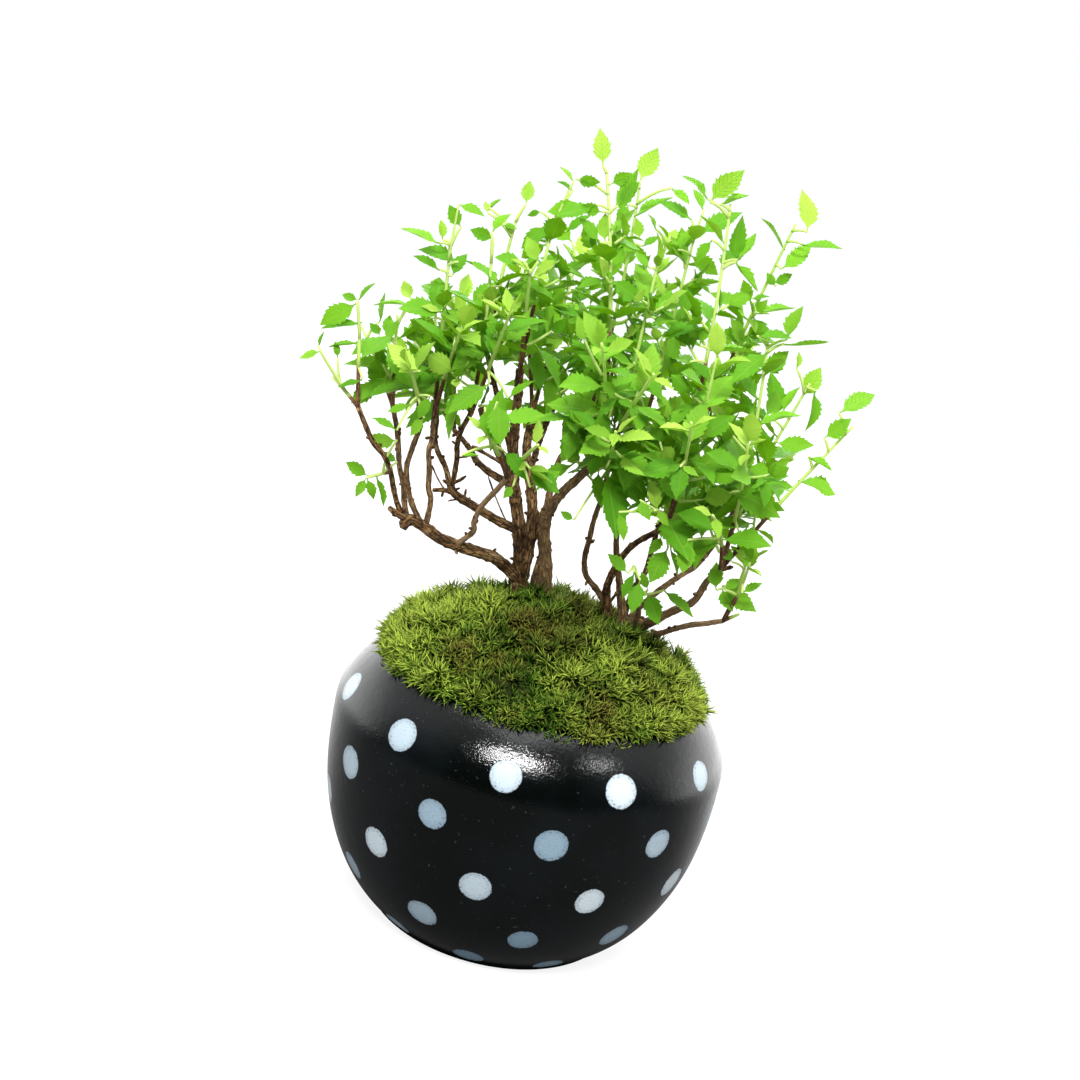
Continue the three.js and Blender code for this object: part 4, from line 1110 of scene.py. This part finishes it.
# Leaves that show singly at the crown's edge and on its front. Each row: the foot of its
# stalk, its tip and the breadth that shows, in pixels of the photo, and its youth.
SEEN_LEAVES = (
    (320, 351, 299, 358, 8, 0.55), (318, 346, 324, 331, 4, 0.5), (357, 303, 320, 327, 17, 0.5),
    (362, 322, 322, 329, 8, 0.35), (358, 300, 341, 294, 8, 0.7), (358, 300, 375, 282, 5, 0.5),
    (357, 342, 327, 345, 4, 0.3), (338, 358, 335, 341, 6, 0.4), (379, 322, 385, 292, 4, 0.5),
    (411, 304, 372, 302, 7, 0.5), (411, 300, 402, 281, 14, 0.8), (386, 336, 392, 315, 17, 0.15),
    (380, 336, 373, 321, 9, 0.2), (386, 338, 350, 352, 9, 0.2), (393, 371, 348, 354, 14, 0.15),
    (420, 371, 383, 349, 18, 0.9), (362, 379, 338, 389, 4, 0.4), (376, 384, 350, 402, 20, 0.35),
    (436, 318, 437, 276, 16, 0.35), (433, 333, 411, 317, 14, 0.2), (440, 243, 400, 228, 10, 0.6),
    (443, 240, 441, 219, 7, 1.0), (458, 262, 419, 244, 13, 0.35), (452, 276, 465, 252, 11, 0.4),
    (461, 227, 447, 206, 20, 0.5), (459, 204, 482, 216, 8, 0.5), (455, 300, 440, 289, 3, 0.3),
    (488, 213, 487, 201, 8, 1.0), (489, 208, 500, 198, 2, 0.6), (494, 239, 470, 229, 12, 0.4),
    (500, 286, 471, 260, 6, 0.2), (492, 232, 507, 210, 8, 0.4), (503, 224, 517, 229, 5, 0.4),
    (470, 305, 497, 281, 16, 0.4), (526, 204, 529, 180, 12, 0.8), (541, 212, 527, 213, 6, 0.4),
    (545, 225, 523, 250, 14, 0.35), (538, 262, 527, 236, 20, 0.85), (574, 181, 560, 166, 5, 0.7),
    (576, 179, 600, 185, 11, 0.5), (573, 190, 558, 180, 3, 0.5), (582, 206, 547, 211, 16, 0.45),
    (573, 270, 541, 256, 10, 0.2), (556, 286, 508, 291, 22, 0.3), (572, 242, 552, 221, 15, 0.3),
    (602, 212, 580, 208, 12, 0.3), (600, 242, 579, 218, 10, 0.2), (605, 242, 603, 213, 14, 0.85),
    (603, 166, 602, 128, 16, 1.0), (611, 184, 632, 174, 12, 0.5), (640, 181, 655, 147, 22, 0.75),
    (612, 210, 648, 181, 18, 0.2), (629, 205, 617, 223, 12, 0.4), (634, 216, 671, 193, 9, 0.25),
    (692, 220, 661, 198, 13, 0.5), (640, 239, 636, 218, 12, 0.85), (638, 252, 613, 234, 13, 0.35),
    (656, 229, 650, 213, 4, 0.3), (640, 300, 612, 283, 18, 0.3), (708, 199, 688, 170, 5, 0.3),
    (704, 210, 694, 188, 7, 0.3), (710, 202, 740, 166, 20, 0.8), (720, 204, 748, 193, 3, 0.5),
    (699, 234, 743, 211, 18, 0.4), (733, 262, 738, 214, 17, 0.55), (737, 260, 760, 233, 11, 0.4),
    (736, 262, 758, 292, 7, 0.2), (785, 250, 765, 216, 5, 0.4), (781, 269, 817, 249, 15, 0.35),
    (801, 244, 844, 248, 9, 0.55), (807, 232, 813, 191, 18, 1.0), (776, 286, 765, 274, 8, 0.35),
    (773, 283, 795, 277, 10, 0.3), (752, 298, 770, 295, 5, 0.4), (757, 311, 796, 307, 8, 0.25),
    (752, 303, 738, 283, 14, 0.25), (786, 340, 800, 305, 10, 0.8), (690, 255, 719, 275, 14, 0.35),
    (784, 344, 829, 344, 4, 0.4), (797, 369, 801, 352, 5, 0.7), (802, 397, 823, 368, 17, 0.9),
    (815, 391, 814, 430, 9, 0.3), (839, 413, 877, 395, 14, 0.65), (824, 438, 853, 421, 16, 0.45),
    (775, 442, 813, 452, 15, 0.35), (808, 456, 832, 470, 3, 0.4), (798, 480, 836, 493, 6, 0.4),
    (768, 484, 793, 488, 8, 0.2), (762, 372, 792, 357, 18, 0.3), (773, 420, 780, 374, 14, 0.6),
    (368, 476, 345, 462, 12, 0.3), (366, 478, 356, 497, 9, 0.6), (367, 478, 373, 500, 8, 0.4),
    (377, 476, 386, 506, 6, 0.35), (397, 430, 370, 416, 9, 0.3), (397, 440, 369, 446, 14, 0.75),
    (397, 462, 383, 453, 7, 0.35), (442, 379, 387, 389, 18, 0.25), (452, 404, 402, 417, 17, 0.2),
    (489, 384, 446, 410, 20, 0.25), (497, 402, 502, 445, 21, 0.2), (503, 450, 531, 479, 16, 0.15),
    (530, 487, 561, 471, 14, 0.35), (513, 486, 504, 498, 9, 0.3), (500, 418, 546, 418, 15, 0.25),
    (462, 455, 479, 456, 5, 0.4), (574, 520, 560, 512, 7, 0.35), (599, 470, 592, 508, 14, 0.4),
    (606, 468, 622, 538, 17, 0.05), (628, 573, 607, 554, 11, 0.25), (640, 580, 632, 614, 15, 0.35),
    (646, 592, 662, 624, 17, 0.5), (664, 590, 694, 618, 11, 0.3), (668, 548, 648, 582, 22, 0.35),
    (688, 540, 684, 574, 18, 0.4), (662, 468, 677, 503, 18, 0.35), (716, 488, 713, 530, 26, 0.4),
    (730, 493, 784, 505, 24, 0.3), (738, 530, 756, 557, 16, 0.3), (716, 590, 714, 562, 14, 0.3),
    (722, 586, 755, 614, 18, 0.35), (722, 588, 729, 613, 14, 0.3), (742, 593, 763, 582, 9, 0.35),
    (725, 590, 738, 577, 13, 0.3), (742, 556, 748, 567, 5, 0.4), (640, 500, 647, 521, 14, 0.3),
    (563, 318, 597, 330, 10, 0.3), (684, 330, 704, 309, 10, 0.3), (736, 338, 741, 310, 8, 0.3),
    (768, 352, 731, 382, 17, 0.35), (782, 412, 797, 385, 9, 0.5), (455, 408, 408, 422, 12, 0.3),
    (391, 376, 369, 401, 10, 0.3), (508, 398, 533, 378, 8, 0.25), (575, 416, 527, 424, 8, 0.3),
    (578, 424, 566, 460, 15, 0.2), (575, 462, 532, 488, 12, 0.25), (619, 512, 624, 541, 10, 0.2),
    (671, 548, 678, 578, 8, 0.3), (634, 572, 625, 600, 9, 0.35), (596, 205, 556, 216, 10, 0.3),
    (672, 188, 690, 204, 7, 0.4), (712, 240, 694, 262, 10, 0.3), (440, 270, 415, 252, 8, 0.4),
    (655, 318, 676, 291, 12, 0.25), (590, 314, 564, 300, 10, 0.3), (700, 346, 704, 318, 8, 0.3),
    (566, 232, 590, 214, 8, 0.3), (650, 268, 634, 252, 8, 0.3), (678, 250, 692, 226, 9, 0.3),
    (732, 562, 722, 545, 12, 0.3), (662, 536, 652, 556, 10, 0.3), (648, 590, 640, 572, 8, 0.35),
    (410, 404, 388, 414, 8, 0.35), (430, 396, 420, 420, 9, 0.3), (398, 318, 388, 342, 9, 0.3),
    (668, 306, 705, 288, 9, 0.3), (664, 352, 676, 332, 8, 0.25), (690, 362, 712, 378, 8, 0.25),
    (732, 398, 744, 380, 8, 0.3), (757, 336, 792, 334, 7, 0.35), (524, 262, 494, 258, 9, 0.3),
    (586, 290, 606, 282, 7, 0.3), (642, 246, 660, 236, 6, 0.3), (618, 206, 640, 182, 12, 0.3),
    (608, 486, 600, 506, 9, 0.3), (447, 408, 462, 426, 8, 0.3), (566, 272, 580, 258, 7, 0.3),
    (556, 352, 552, 406, 20, 0.2), (548, 318, 520, 348, 20, 0.05), (470, 352, 428, 374, 20, 0.2),
    (424, 418, 408, 434, 10, 0.55), (485, 408, 490, 438, 16, 0.15),
)
# The edge of the crown behind them, in pixels of the photo: other leaves stay inside it.
CROWN_EDGE = np.array([
    (346, 352), (372, 318), (398, 301), (420, 276), (455, 262), (490, 240), (520, 226), (545, 200),
    (585, 190), (625, 182), (665, 196), (695, 205), (742, 207), (750, 239), (760, 273), (768, 299),
    (795, 319), (796, 361), (800, 400), (812, 453), (790, 463), (793, 491), (782, 512), (765, 541),
    (748, 558), (722, 556), (700, 568), (684, 566), (668, 548), (650, 528), (630, 522), (598, 508),
    (570, 494), (505, 500), (480, 438), (400, 436), (372, 448), (345, 402),
], float)
# Places where one sees through the crown: middle and radius, in pixels of the photo.
CROWN_GAPS = np.array([
    (545, 458, 11), (599, 197, 9), (776, 319, 9), (713, 247, 8), (526, 400, 8), (507, 476, 9),
    (704, 555, 8), (512, 239, 8), (390, 411, 8), (519, 441, 8), (796, 421, 8), (669, 221, 8),
    (658, 213, 7), (402, 313, 7), (520, 487, 7), (480, 255, 7), (476, 272, 7), (749, 260, 6),
    (514, 369, 9), (735, 277, 6), (791, 368, 6), (793, 388, 6), (532, 222, 5), (629, 272, 5),
    (725, 318, 5), (559, 251, 5), (471, 424, 5), (571, 485, 5), (763, 533, 6), (556, 441, 5),
    (650, 493, 5), (402, 330, 5),
], float)
CLOSE_PIXELS = 15
# A leaf that shows less than this many times as long as broad is a disc, if it is
# broader than so many pixels.
DISC = (1.2, 8)
LEAF_BREADTH = 0.5
WIDEST_LEAF = 0.62
LEAST_FACING = 0.12
# The photo's leaves are broader than the rule makes them, and smaller towards the top:
# two heights, and the share of the rule's length at each.
WIDER = 1.2
GROWN_BY = ((95, 165), (1.0, 0.74))
STEM_SAMPLES = 26


def in_crown(spots):
    """Whether spots lie within the crown's edge, where a level line from each crosses it
    an odd number of times, and in none of its gaps."""
    (x, y), (next_x, next_y) = CROWN_EDGE.T, np.roll(CROWN_EDGE, -1, 0).T
    right, down = spots[:, :1], spots[:, 1:]
    crossing = x + (down - y) / (next_y - y) * (next_x - x)
    is_open = (np.hypot(right - CROWN_GAPS[:, 0], down - CROWN_GAPS[:, 1]) < CROWN_GAPS[:, 2]).any(1)
    return ((((y > down) != (next_y > down)) & (right < crossing)).sum(1) % 2 == 1) & ~is_open


def shows_well(leaf, far=1.0):
    """Whether a leaf's middle, sides and far end lie within the crown's edge, and it doesn't
    point at the eye so that it shows as a disc."""
    along = np.array([0.3, 0.5, 0.5, 0.7, far, 0])
    across = np.array([0, 0.45, -0.45, 0, 0, 0])
    spots = pixels_of(on_leaf(leaf, along, across, np.zeros(6)))
    reach, breadth = np.linalg.norm(spots[4] - spots[5]), np.linalg.norm(spots[1] - spots[2])
    return bool(in_crown(spots[:5]).all()) and (reach > DISC[0] * breadth or breadth < DISC[1])


def seen_leaf(row, random):
    """A leaf drawn to its ends in the photo. It grows from the stem nearest the eye of
    those close by, on a stalk of its own where the stem lies further off, and it is
    rolled about its length until the breadth that shows is right."""
    x, y, tip_x, tip_y, breadth, youth = row
    away = np.linalg.norm(stem_pixels - (x, y), axis=1)
    near = np.flatnonzero(away <= max(CLOSE_PIXELS, away.min()))
    nearest = near[np.argmin(stem_depths[near] + away[near] / 4)]
    scale = stem_depths[nearest] / FOCAL_PIXELS
    gap = away[nearest] * scale
    depth = stem_depths[nearest] - 0.35 * gap
    foot = point_at((x, y), depth)
    reach = math.hypot(tip_x - x, tip_y - y) * scale
    chord = point_at((tip_x, tip_y), depth + random.uniform(-0.3, 0.25) * reach) - foot
    span = np.linalg.norm(chord)
    chord = chord / span
    slimness = breadth * WIDER * scale / span
    facing = min(1, max(LEAST_FACING, slimness / LEAF_BREADTH))
    to_eye = unit(CAMERA_PLACE - foot)
    to_eye = unit(to_eye - chord * (to_eye @ chord))
    turned_by = math.sqrt(1 - facing ** 2) * np.cross(chord, to_eye)
    sides = [a * facing * to_eye + b * turned_by for a in (1, -1) for b in (1, -1)]
    upper = max(sides, key=lambda side: side[2] + 0.15 * (side @ to_eye))
    sag = random.uniform(0.1, 0.5)
    droop = math.atan2(SAG_DEPTH * sag, 1 - SAG_SHORTENING * sag)
    direction = chord * math.cos(droop) + upper * math.sin(droop)
    upper = upper * math.cos(droop) - chord * math.sin(droop)
    leaf = {"at": foot, "direction": direction, "upper": upper, "across": np.cross(direction, upper),
            "length": span * math.cos(droop) / (1 - SAG_SHORTENING * sag),
            "width": min(WIDEST_LEAF, max(LEAF_BREADTH, slimness)),
            "sag": sag, "youth": youth, "is_tip": False}
    shoot = shoots[stem_owners[nearest]]
    if gap < 0.7:
        shoot["leaves"].append(leaf)
        return leaf
    share = max(shoot["start"], stem_shares[nearest] - 0.6 * gap / shoot["reach"])
    start, along = (place[0] for place in bow(shoot["ends"], [share]))
    knee = (start + foot) / 2 + along * 0.2 * gap
    shoot["sprigs"].append({"ends": (start, knee, foot), "reach": np.linalg.norm(foot - start),
                            "start": 0, "stop": 1, "leaves": [leaf], "bare": True})
    return leaf


for owner, shoot in enumerate(shoots):
    shoot |= shoot.pop("shown") | {"sprigs": []}
    if shoot["node"] in SHOWN:
        shoot["leaves"] = grow_leaves(shoot, room, owner, drawing_from(owner))
sampled = [np.linspace(shoot["start"], shoot["stop"], STEM_SAMPLES) for shoot in shoots]
stem_owners, stem_shares = np.repeat(np.arange(len(shoots)), STEM_SAMPLES), np.concatenate(sampled)
stem_points = np.vstack([bow(shoot["ends"], shares)[0] for shoot, shares in zip(shoots, sampled)])
stem_pixels, stem_depths = pixels_of(stem_points), depth_of(stem_points)

# The leaves of the rule give way to those that show. The photo's own are hung first.
ruled = []
for shoot in shoots:
    ruled.append([leaf for leaf in shoot["leaves"] if shows_well(leaf, 0.8)])
    shoot["leaves"] = []
seen_random = np.random.default_rng(31)
seen_room = Room()
for row in SEEN_LEAVES:
    seen_room.take(probes_of(seen_leaf(row, seen_random)), 0.6, LEAF)

room = Room()
room.take_branches()
room.take(seen_room.spots[:seen_room.count], 0.6, LEAF)
for owner, shoot in enumerate(shoots):
    room.take_stem(shoot, owner)
    for leaf in ruled[owner]:
        leaf["length"] *= np.interp(leaf["at"][2], *GROWN_BY)
        leaf["width"] *= WIDER
        if seen_room.is_clear(probes_of(leaf), owner, 0.3):
            shoot["leaves"].append(leaf)
            room.take(probes_of(leaf), 0.8, LEAF)

# Side sprigs fill the crown from inside. They leave a shoot where a leaf would, turn up
# towards the light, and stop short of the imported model's box.
SPRIG_EVERY = 4.0
SPRIG_LENGTHS = (8, 17)
SPRIG_TIPS = (4.5, 8.5)
SPRIG_LEAVES = (9.5, 14.0)
SPRIG_CLEARANCE = 0.3
# The crown's skirt falls from left to right: two places across, and its height at each.
# No sprig starts under it.
SKIRT = ((-2, 30), (110, 76))
BOX_LOW, BOX_HIGH = np.array(cad_box) / MM


def sprigs_of(shoot, owner, room, random):
    """Side sprigs along a shoot, each a short bow with its own few leaves."""
    made = []
    draw = drawing_from(104729 * owner + 5)
    share = 2.0 / shoot["reach"]
    while share < shoot["stop"] - 9 / shoot["reach"]:
        at, along = (place[0] for place in bow(shoot["ends"], [share]))
        share += SPRIG_EVERY * random.uniform(0.7, 1.3) / shoot["reach"]
        if at[2] < np.interp(at[0], *SKIRT):
            continue
        outward = unit(np.cross(along, unit(random.normal(0, 1, 3))))
        grown = 1 - 0.45 * share
        length = random.uniform(*SPRIG_LENGTHS) * grown
        way = unit(along * 0.55 + outward + [0, 0, 0.15])
        tip = at + way * length + np.array([0, 0, 0.22 * length])
        knee = at + way * length * 0.55
        tip_length = random.uniform(*SPRIG_TIPS)
        sprig = {"ends": (at, knee, tip), "reach": length, "start": 1.2 / length,
                 "stop": 1 - (0.72 * tip_length) / length, "bare": False}
        if (tip > BOX_HIGH - 1).any() or (tip < BOX_LOW + 1).any() or sprig["stop"] < 0.25:
            continue
        if not in_crown(pixels_of(np.array([knee, tip]))).all():
            continue
        full_length = random.uniform(*SPRIG_LEAVES) * grown * np.interp(at[2], *GROWN_BY) + 1.5
        leaves = grow_leaves(sprig, room, owner, draw, full_length, tip_length, 4.0, 2,
                             SPRIG_CLEARANCE, random.uniform(0.0, 0.9))
        sprig["leaves"] = [leaf | {"width": leaf["width"] * WIDER} for leaf in leaves if shows_well(leaf)]
        if len(sprig["leaves"]) > 1:
            made.append(sprig)
    return made


sprig_random = np.random.default_rng(7)
for owner, shoot in enumerate(shoots):
    shoot["sprigs"] += sprigs_of(shoot, owner, room, sprig_random)

# A leaf blade, drawn once: rows across it from the stalk to the point. Each row has a
# left edge, the midrib on top, a right edge and the midrib below. The teeth lean forward.
LEAF_TEETH = (0.33, 0.45, 0.57, 0.68, 0.78, 0.87)
YOUNG_TEETH = (0.4, 0.57, 0.72, 0.86)
STALK_ROWS = ((0.0, 0.035), (0.1, 0.035), (0.16, 0.11), (0.24, 0.29))
TOOTH_LEAN = 0.02
NOTCH_BEHIND = 0.035
NOTCH_DEPTH = 0.78
YOUNG_LEAF = 8.0
FOLD = 0.38
SPRIG_RADII = (0.34, 0.24)


def leaf_width(x):
    """Half width of a spirea leaf as a share of its full width: 0.5 sin(pi u^0.8)^(0.8 + 0.6 u),
    with u the share of the blade beyond its stalk."""
    u = np.clip((x - 0.1) / 0.9, 0, 1)
    return 0.5 * np.sin(np.pi * u ** 0.8) ** (0.8 + 0.6 * u)


def leaf_blank(teeth):
    """Along, across, lift and faces of a blank leaf with these teeth. Lift is -1 under
    the midrib and 0 on top and at the edges."""
    rows = [(x, x, w) for x, w in STALK_ROWS]
    for tooth in teeth:
        width = leaf_width(tooth)
        notch = tooth + NOTCH_BEHIND
        rows += [(tooth, tooth + TOOTH_LEAN, width), (notch, notch, width * NOTCH_DEPTH)]
    middle, edge, width = np.array(rows).T
    along = np.append(np.stack([edge, middle, edge, middle], 1).ravel(), 1.0)
    across = np.append(np.stack([-width, 0 * width, width, 0 * width], 1).ravel(), 0.0)
    lift = np.append(np.tile([0, 0.0, 0, -1.0], len(rows)), 0.0)
    k = np.arange(4)
    after = (k + 1) % 4
    row = 4 * np.arange(len(rows) - 1)[:, None]
    quads = np.stack([row + after, row + k, row + 4 + k, row + 4 + after], -1).reshape(-1, 4)
    last = 4 * (len(rows) - 1)
    tips = np.stack([last + after, last + k, 0 * k + last + 4], 1)
    return along, across, lift, [np.vstack([quads, [[0, 1, 2, 3]]]), tips]


grown_blank, young_blank = leaf_blank(LEAF_TEETH), leaf_blank(YOUNG_TEETH)


def leaf_part(leaf, random):
    """One leaf cut from a blank: folded along its midrib, then twisted, waved at its
    edges, bent sideways and curled at the tip, each a little."""
    along, across, under, faces = young_blank if leaf["length"] < YOUNG_LEAF else grown_blank
    length = leaf["length"]
    twist = random.normal(0, 0.2) * (not leaf["is_tip"])
    wave = random.uniform(0.0, 0.045) * length
    phase = random.uniform(0, 6.3)
    fold = FOLD * random.uniform(0.5, 1.4)
    half = np.abs(across) * leaf["width"] * length
    lift = (fold * half + across * twist * length * along
            + wave * np.sin(9 * along + phase + 3 * across) * np.abs(across) * 2
            - random.normal(0.03, 0.07) * length * along ** 3
            + under * LEAF_THICKNESS * (1 - 0.5 * along))
    lift = lift - fold * 0.25 * leaf["width"] * length * np.minimum(1, along * 4)
    sway = random.normal(0, 0.12) * along ** 2 / leaf["width"]
    count = len(along)
    return {"points": on_leaf(leaf, along, across + sway, lift), "faces": faces,
            "along": along, "across": across, "blade": np.ones(count),
            "youth": np.full(count, leaf["youth"]), "tone": np.full(count, random.uniform(0, 1))}


def stem_part(stem, radii, youth, tone):
    """The green stem of a shoot or a sprig, a little swollen where leaves leave it."""
    length = (stem["stop"] - stem["start"]) * stem["reach"]
    shares = np.linspace(stem["start"] - 0.15 / stem["reach"], stem["stop"], max(5, int(length / 1.3)))
    part = tube(bow(stem["ends"], shares)[0], np.linspace(*radii, len(shares)), 6, 0.05, tone * 9)
    part.pop("flat")
    count = len(part["points"])
    shares = np.linspace(0, 1, count)
    return part | {"along": shares, "across": np.zeros(count), "blade": np.zeros(count),
                   "youth": youth[0] + (youth[1] - youth[0]) * shares, "tone": np.full(count, tone)}


def tip_leaves(stem, random, size):
    """The two or three young leaves that stand close round a growing tip."""
    turn = random.uniform(0, 6.3)
    leaves = []
    for k in range(random.integers(2, 4)):
        share = stem["stop"] - (0.5 + 1.3 * k) / stem["reach"]
        lean = math.radians(random.uniform(28, 50) + 9 * k)
        leaves.append(leaf_frame(stem["ends"], share, turn + 2.4 * k, lean, False) | {
            "length": size * random.uniform(0.7, 1.0) + k, "width": random.uniform(0.38, 0.46),
            "sag": random.uniform(0, 0.4), "youth": random.uniform(0.85, 1.0), "is_tip": False})
    return leaves


blade_finish = Finish("spirea_green")
along, across = blade_finish.read("along"), blade_finish.read("across")
youth, tone, blade = (blade_finish.read(label) for label in ("youth", "tone", "blade"))
mature = blade_finish.blend(tone, (0.078, 0.285, 0.009), (0.20, 0.475, 0.022))
fresh = blade_finish.blend(tone, (0.33, 0.56, 0.045), (0.50, 0.70, 0.11))
leaf_colour = blade_finish.blend(blade_finish.step(youth + 0.25 * (tone - 0.5), 0.55, 1.0), mature, fresh)
from_midrib = across.math("ABSOLUTE", across)
slanting = along.math("PINGPONG", (along - from_midrib * 0.55) * 8.5, 0.5)
vein = blade_finish.step(slanting, 0.40, 0.5) * blade_finish.step(from_midrib, 0.0, 0.06)
midrib = 1 - blade_finish.step(from_midrib, 0.0, 0.035)
leaf_colour = blade_finish.blend((vein * 0.14 + midrib * 0.30) * blade, leaf_colour, (0.42, 0.62, 0.12))
blotch = blade_finish.noise(blade_finish.place(), 0.5, 2)
leaf_colour = blade_finish.blend(blotch * 0.16, leaf_colour, (0.02, 0.12, 0.01))
stem_colour = blade_finish.blend(youth, (0.45, 0.58, 0.12), (0.74, 0.84, 0.32))
leaf_colour = blade_finish.blend(blade, stem_colour, leaf_colour)
leaf_skin = blade_finish.principled(
    Base_Color=leaf_colour,
    Roughness=0.58 + 0.12 * blotch,
    Specular_IOR_Level=0.22,
    Normal=blade_finish.bump((1 - vein) * 0.6 + (1 - midrib) * 0.6 + blotch * 0.4, 0.12),
)
leaf_glow = blade_finish.node("BsdfTranslucent", None, Color=(0.50, 0.75, 0.045))
blade_finish.surface(blade_finish.node("MixShader", None, 0.42, leaf_skin, leaf_glow))

leaf_random = np.random.default_rng(11)
for shoot in shoots:
    parts = [stem_part(shoot, SHOOT_RADII, (0.25, 1.0), leaf_random.uniform(0, 1))]
    has_room = in_crown(pixels_of(shoot["ends"][2])[None])[0]
    tips = tip_leaves(shoot, leaf_random, 5.6) if has_room else []
    parts += [leaf_part(leaf, leaf_random) for leaf in shoot["leaves"] + tips]
    for sprig in shoot["sprigs"]:
        parts.append(stem_part(sprig, SPRIG_RADII, (0.5, 1.0), leaf_random.uniform(0, 1)))
        if sprig["bare"]:
            parts.append(leaf_part(sprig["leaves"][0], leaf_random))
            continue
        sprig_youth = leaf_random.uniform(0.25, 0.75)
        for leaf in sprig["leaves"] + tip_leaves(sprig, leaf_random, 4.6):
            leaf["youth"] = leaf["youth"] * sprig_youth + 0.1
            parts.append(leaf_part(leaf, leaf_random))
    leafy = gathered(parts)
    spray = piece_of(shoot["node"].replace("shoot", "spray"), leafy.pop("points"), leafy.pop("faces"),
                     blade_finish, "leaf_green", [shoot["node"]], **leafy)
    spray.data.set_sharp_from_angle(angle=math.radians(80))

# The light it stands in: a pale seamless floor, a bright soft surround, two narrow lamps
# high in front that shine on the pot's shoulder, a broad one overhead, and one behind that
# lights the leaves through. The camera is the photo's: it looks down a little, and leans.
SENSOR = 36
lens = bpy.data.cameras.new("camera")
lens.sensor_width = SENSOR
lens.lens = SENSOR * FOCAL_PIXELS / FRAME_PIXELS
lens.clip_start, lens.clip_end = 0.01, 20
camera = bpy.data.objects.new("camera", lens)
camera.matrix_world = Matrix.Translation(CAMERA_PLACE * MM) @ Matrix(VIEW.T).to_4x4()
bpy.context.scene.collection.objects.link(camera)
bpy.context.scene.camera = camera

FLOOR_HALF = 4000
FLOOR_GLOW = 0.86
WHITE = (1, 1, 1)
SURROUND_BRIGHT = 1.0
SURROUND_WALL = 1.8
SURROUND_FILL = 0.7
SURROUND_DIM = 0.03
corners = [(-1, -1), (1, -1), (1, 1), (-1, 1)]
floor_mesh = bpy.data.meshes.new("floor")
floor_mesh.from_pydata([(x * FLOOR_HALF * MM, y * FLOOR_HALF * MM, 0) for x, y in corners],
                       [], [(0, 1, 2, 3)])
floor = bpy.data.objects.new("floor", floor_mesh)
bpy.context.scene.collection.objects.link(floor)

# The camera sees the floor as white. What it sends to the plant is brighter behind it, and
# the glaze mirrors it dark in front and bright behind.
floor_finish = Finish("pale_floor")
is_seen = floor_finish.node("LightPath", out="Is Camera Ray")
is_mirrored = floor_finish.node("LightPath", out="Is Glossy Ray")
behind = floor_finish.step(floor_finish.node("SeparateXYZ", None, floor_finish.place(), out="Y"), -20, 260)
bounce = floor_finish.blend(is_mirrored, (0.45, 0.45, 0.45), (0, 0, 0))
backdrop = floor_finish.blend(behind * (0.35 + 0.65 * is_mirrored), bounce, (2.8, 2.8, 2.8))
floor_finish.surface(floor_finish.principled(
    Base_Color=floor_finish.blend(is_seen, (0.07, 0.07, 0.07), (0.16, 0.16, 0.16)),
    Roughness=0.9,
    Specular_IOR_Level=0.05,
    Emission_Color=floor_finish.blend(is_seen, backdrop, WHITE),
    Emission_Strength=FLOOR_GLOW,
))
floor_mesh.materials.append(floor_finish.material)


def lamp(name, place, aim, width, height, watts):
    """A rectangular soft lamp that faces a point."""
    data = bpy.data.lights.new(name, "AREA")
    data.shape = "RECTANGLE"
    data.size, data.size_y, data.energy = width * MM, height * MM, watts
    made = bpy.data.objects.new(name, data)
    back = unit(np.array(place, float) - aim)
    side = unit(np.cross([0.02, 0.05, 1.0], back))
    turn = np.stack([side, np.cross(back, side), back], 1)
    made.matrix_world = Matrix.Translation(np.array(place) * MM) @ Matrix(turn).to_4x4()
    bpy.context.scene.collection.objects.link(made)


lamp("key", (-50, -505, 590), (0, 0, 58), 320, 32, 7.0)
lamp("side_key", (420, -270, 580), (0, 0, 58), 64, 44, 0.6)
lamp("top", (0, 60, 900), (0, 0, 110), 800, 800, 8)
lamp("back", (150, 700, 420), (0, 0, 120), 500, 500, 7)

# The camera sees the surround as white too. The glaze mirrors it dim in front, and bright
# behind, low down most of all.
surround = Finish("soft_surround", bpy.data.worlds)
direction = surround.node("TexCoord", out="Generated")
backward = surround.node("SeparateXYZ", None, direction, out="Y")
upward = surround.node("SeparateXYZ", None, direction, out="Z")
front = surround.step(0 - backward, 0.0, 0.75)
low = 1 - surround.step(upward, 0.15, 0.6)
rear = surround.step(backward, -0.25, 0.5)
high = surround.step(upward, 0.0, 0.8)
mirrored = surround.node("LightPath", out="Is Glossy Ray")
back = SURROUND_BRIGHT * (1 - mirrored * (1 - rear) * (1 - high)) + SURROUND_WALL * low * rear * mirrored
glow = back + (SURROUND_FILL + (SURROUND_DIM - SURROUND_FILL) * mirrored - back) * front
seen = surround.node("LightPath", out="Is Camera Ray")
sky = surround.node("Background", Color=WHITE, Strength=glow + seen * (1 - glow))
surround.node("OutputWorld", Surface=sky)
bpy.context.scene.world = surround.material
bpy.context.scene.view_settings.view_transform = "Standard"
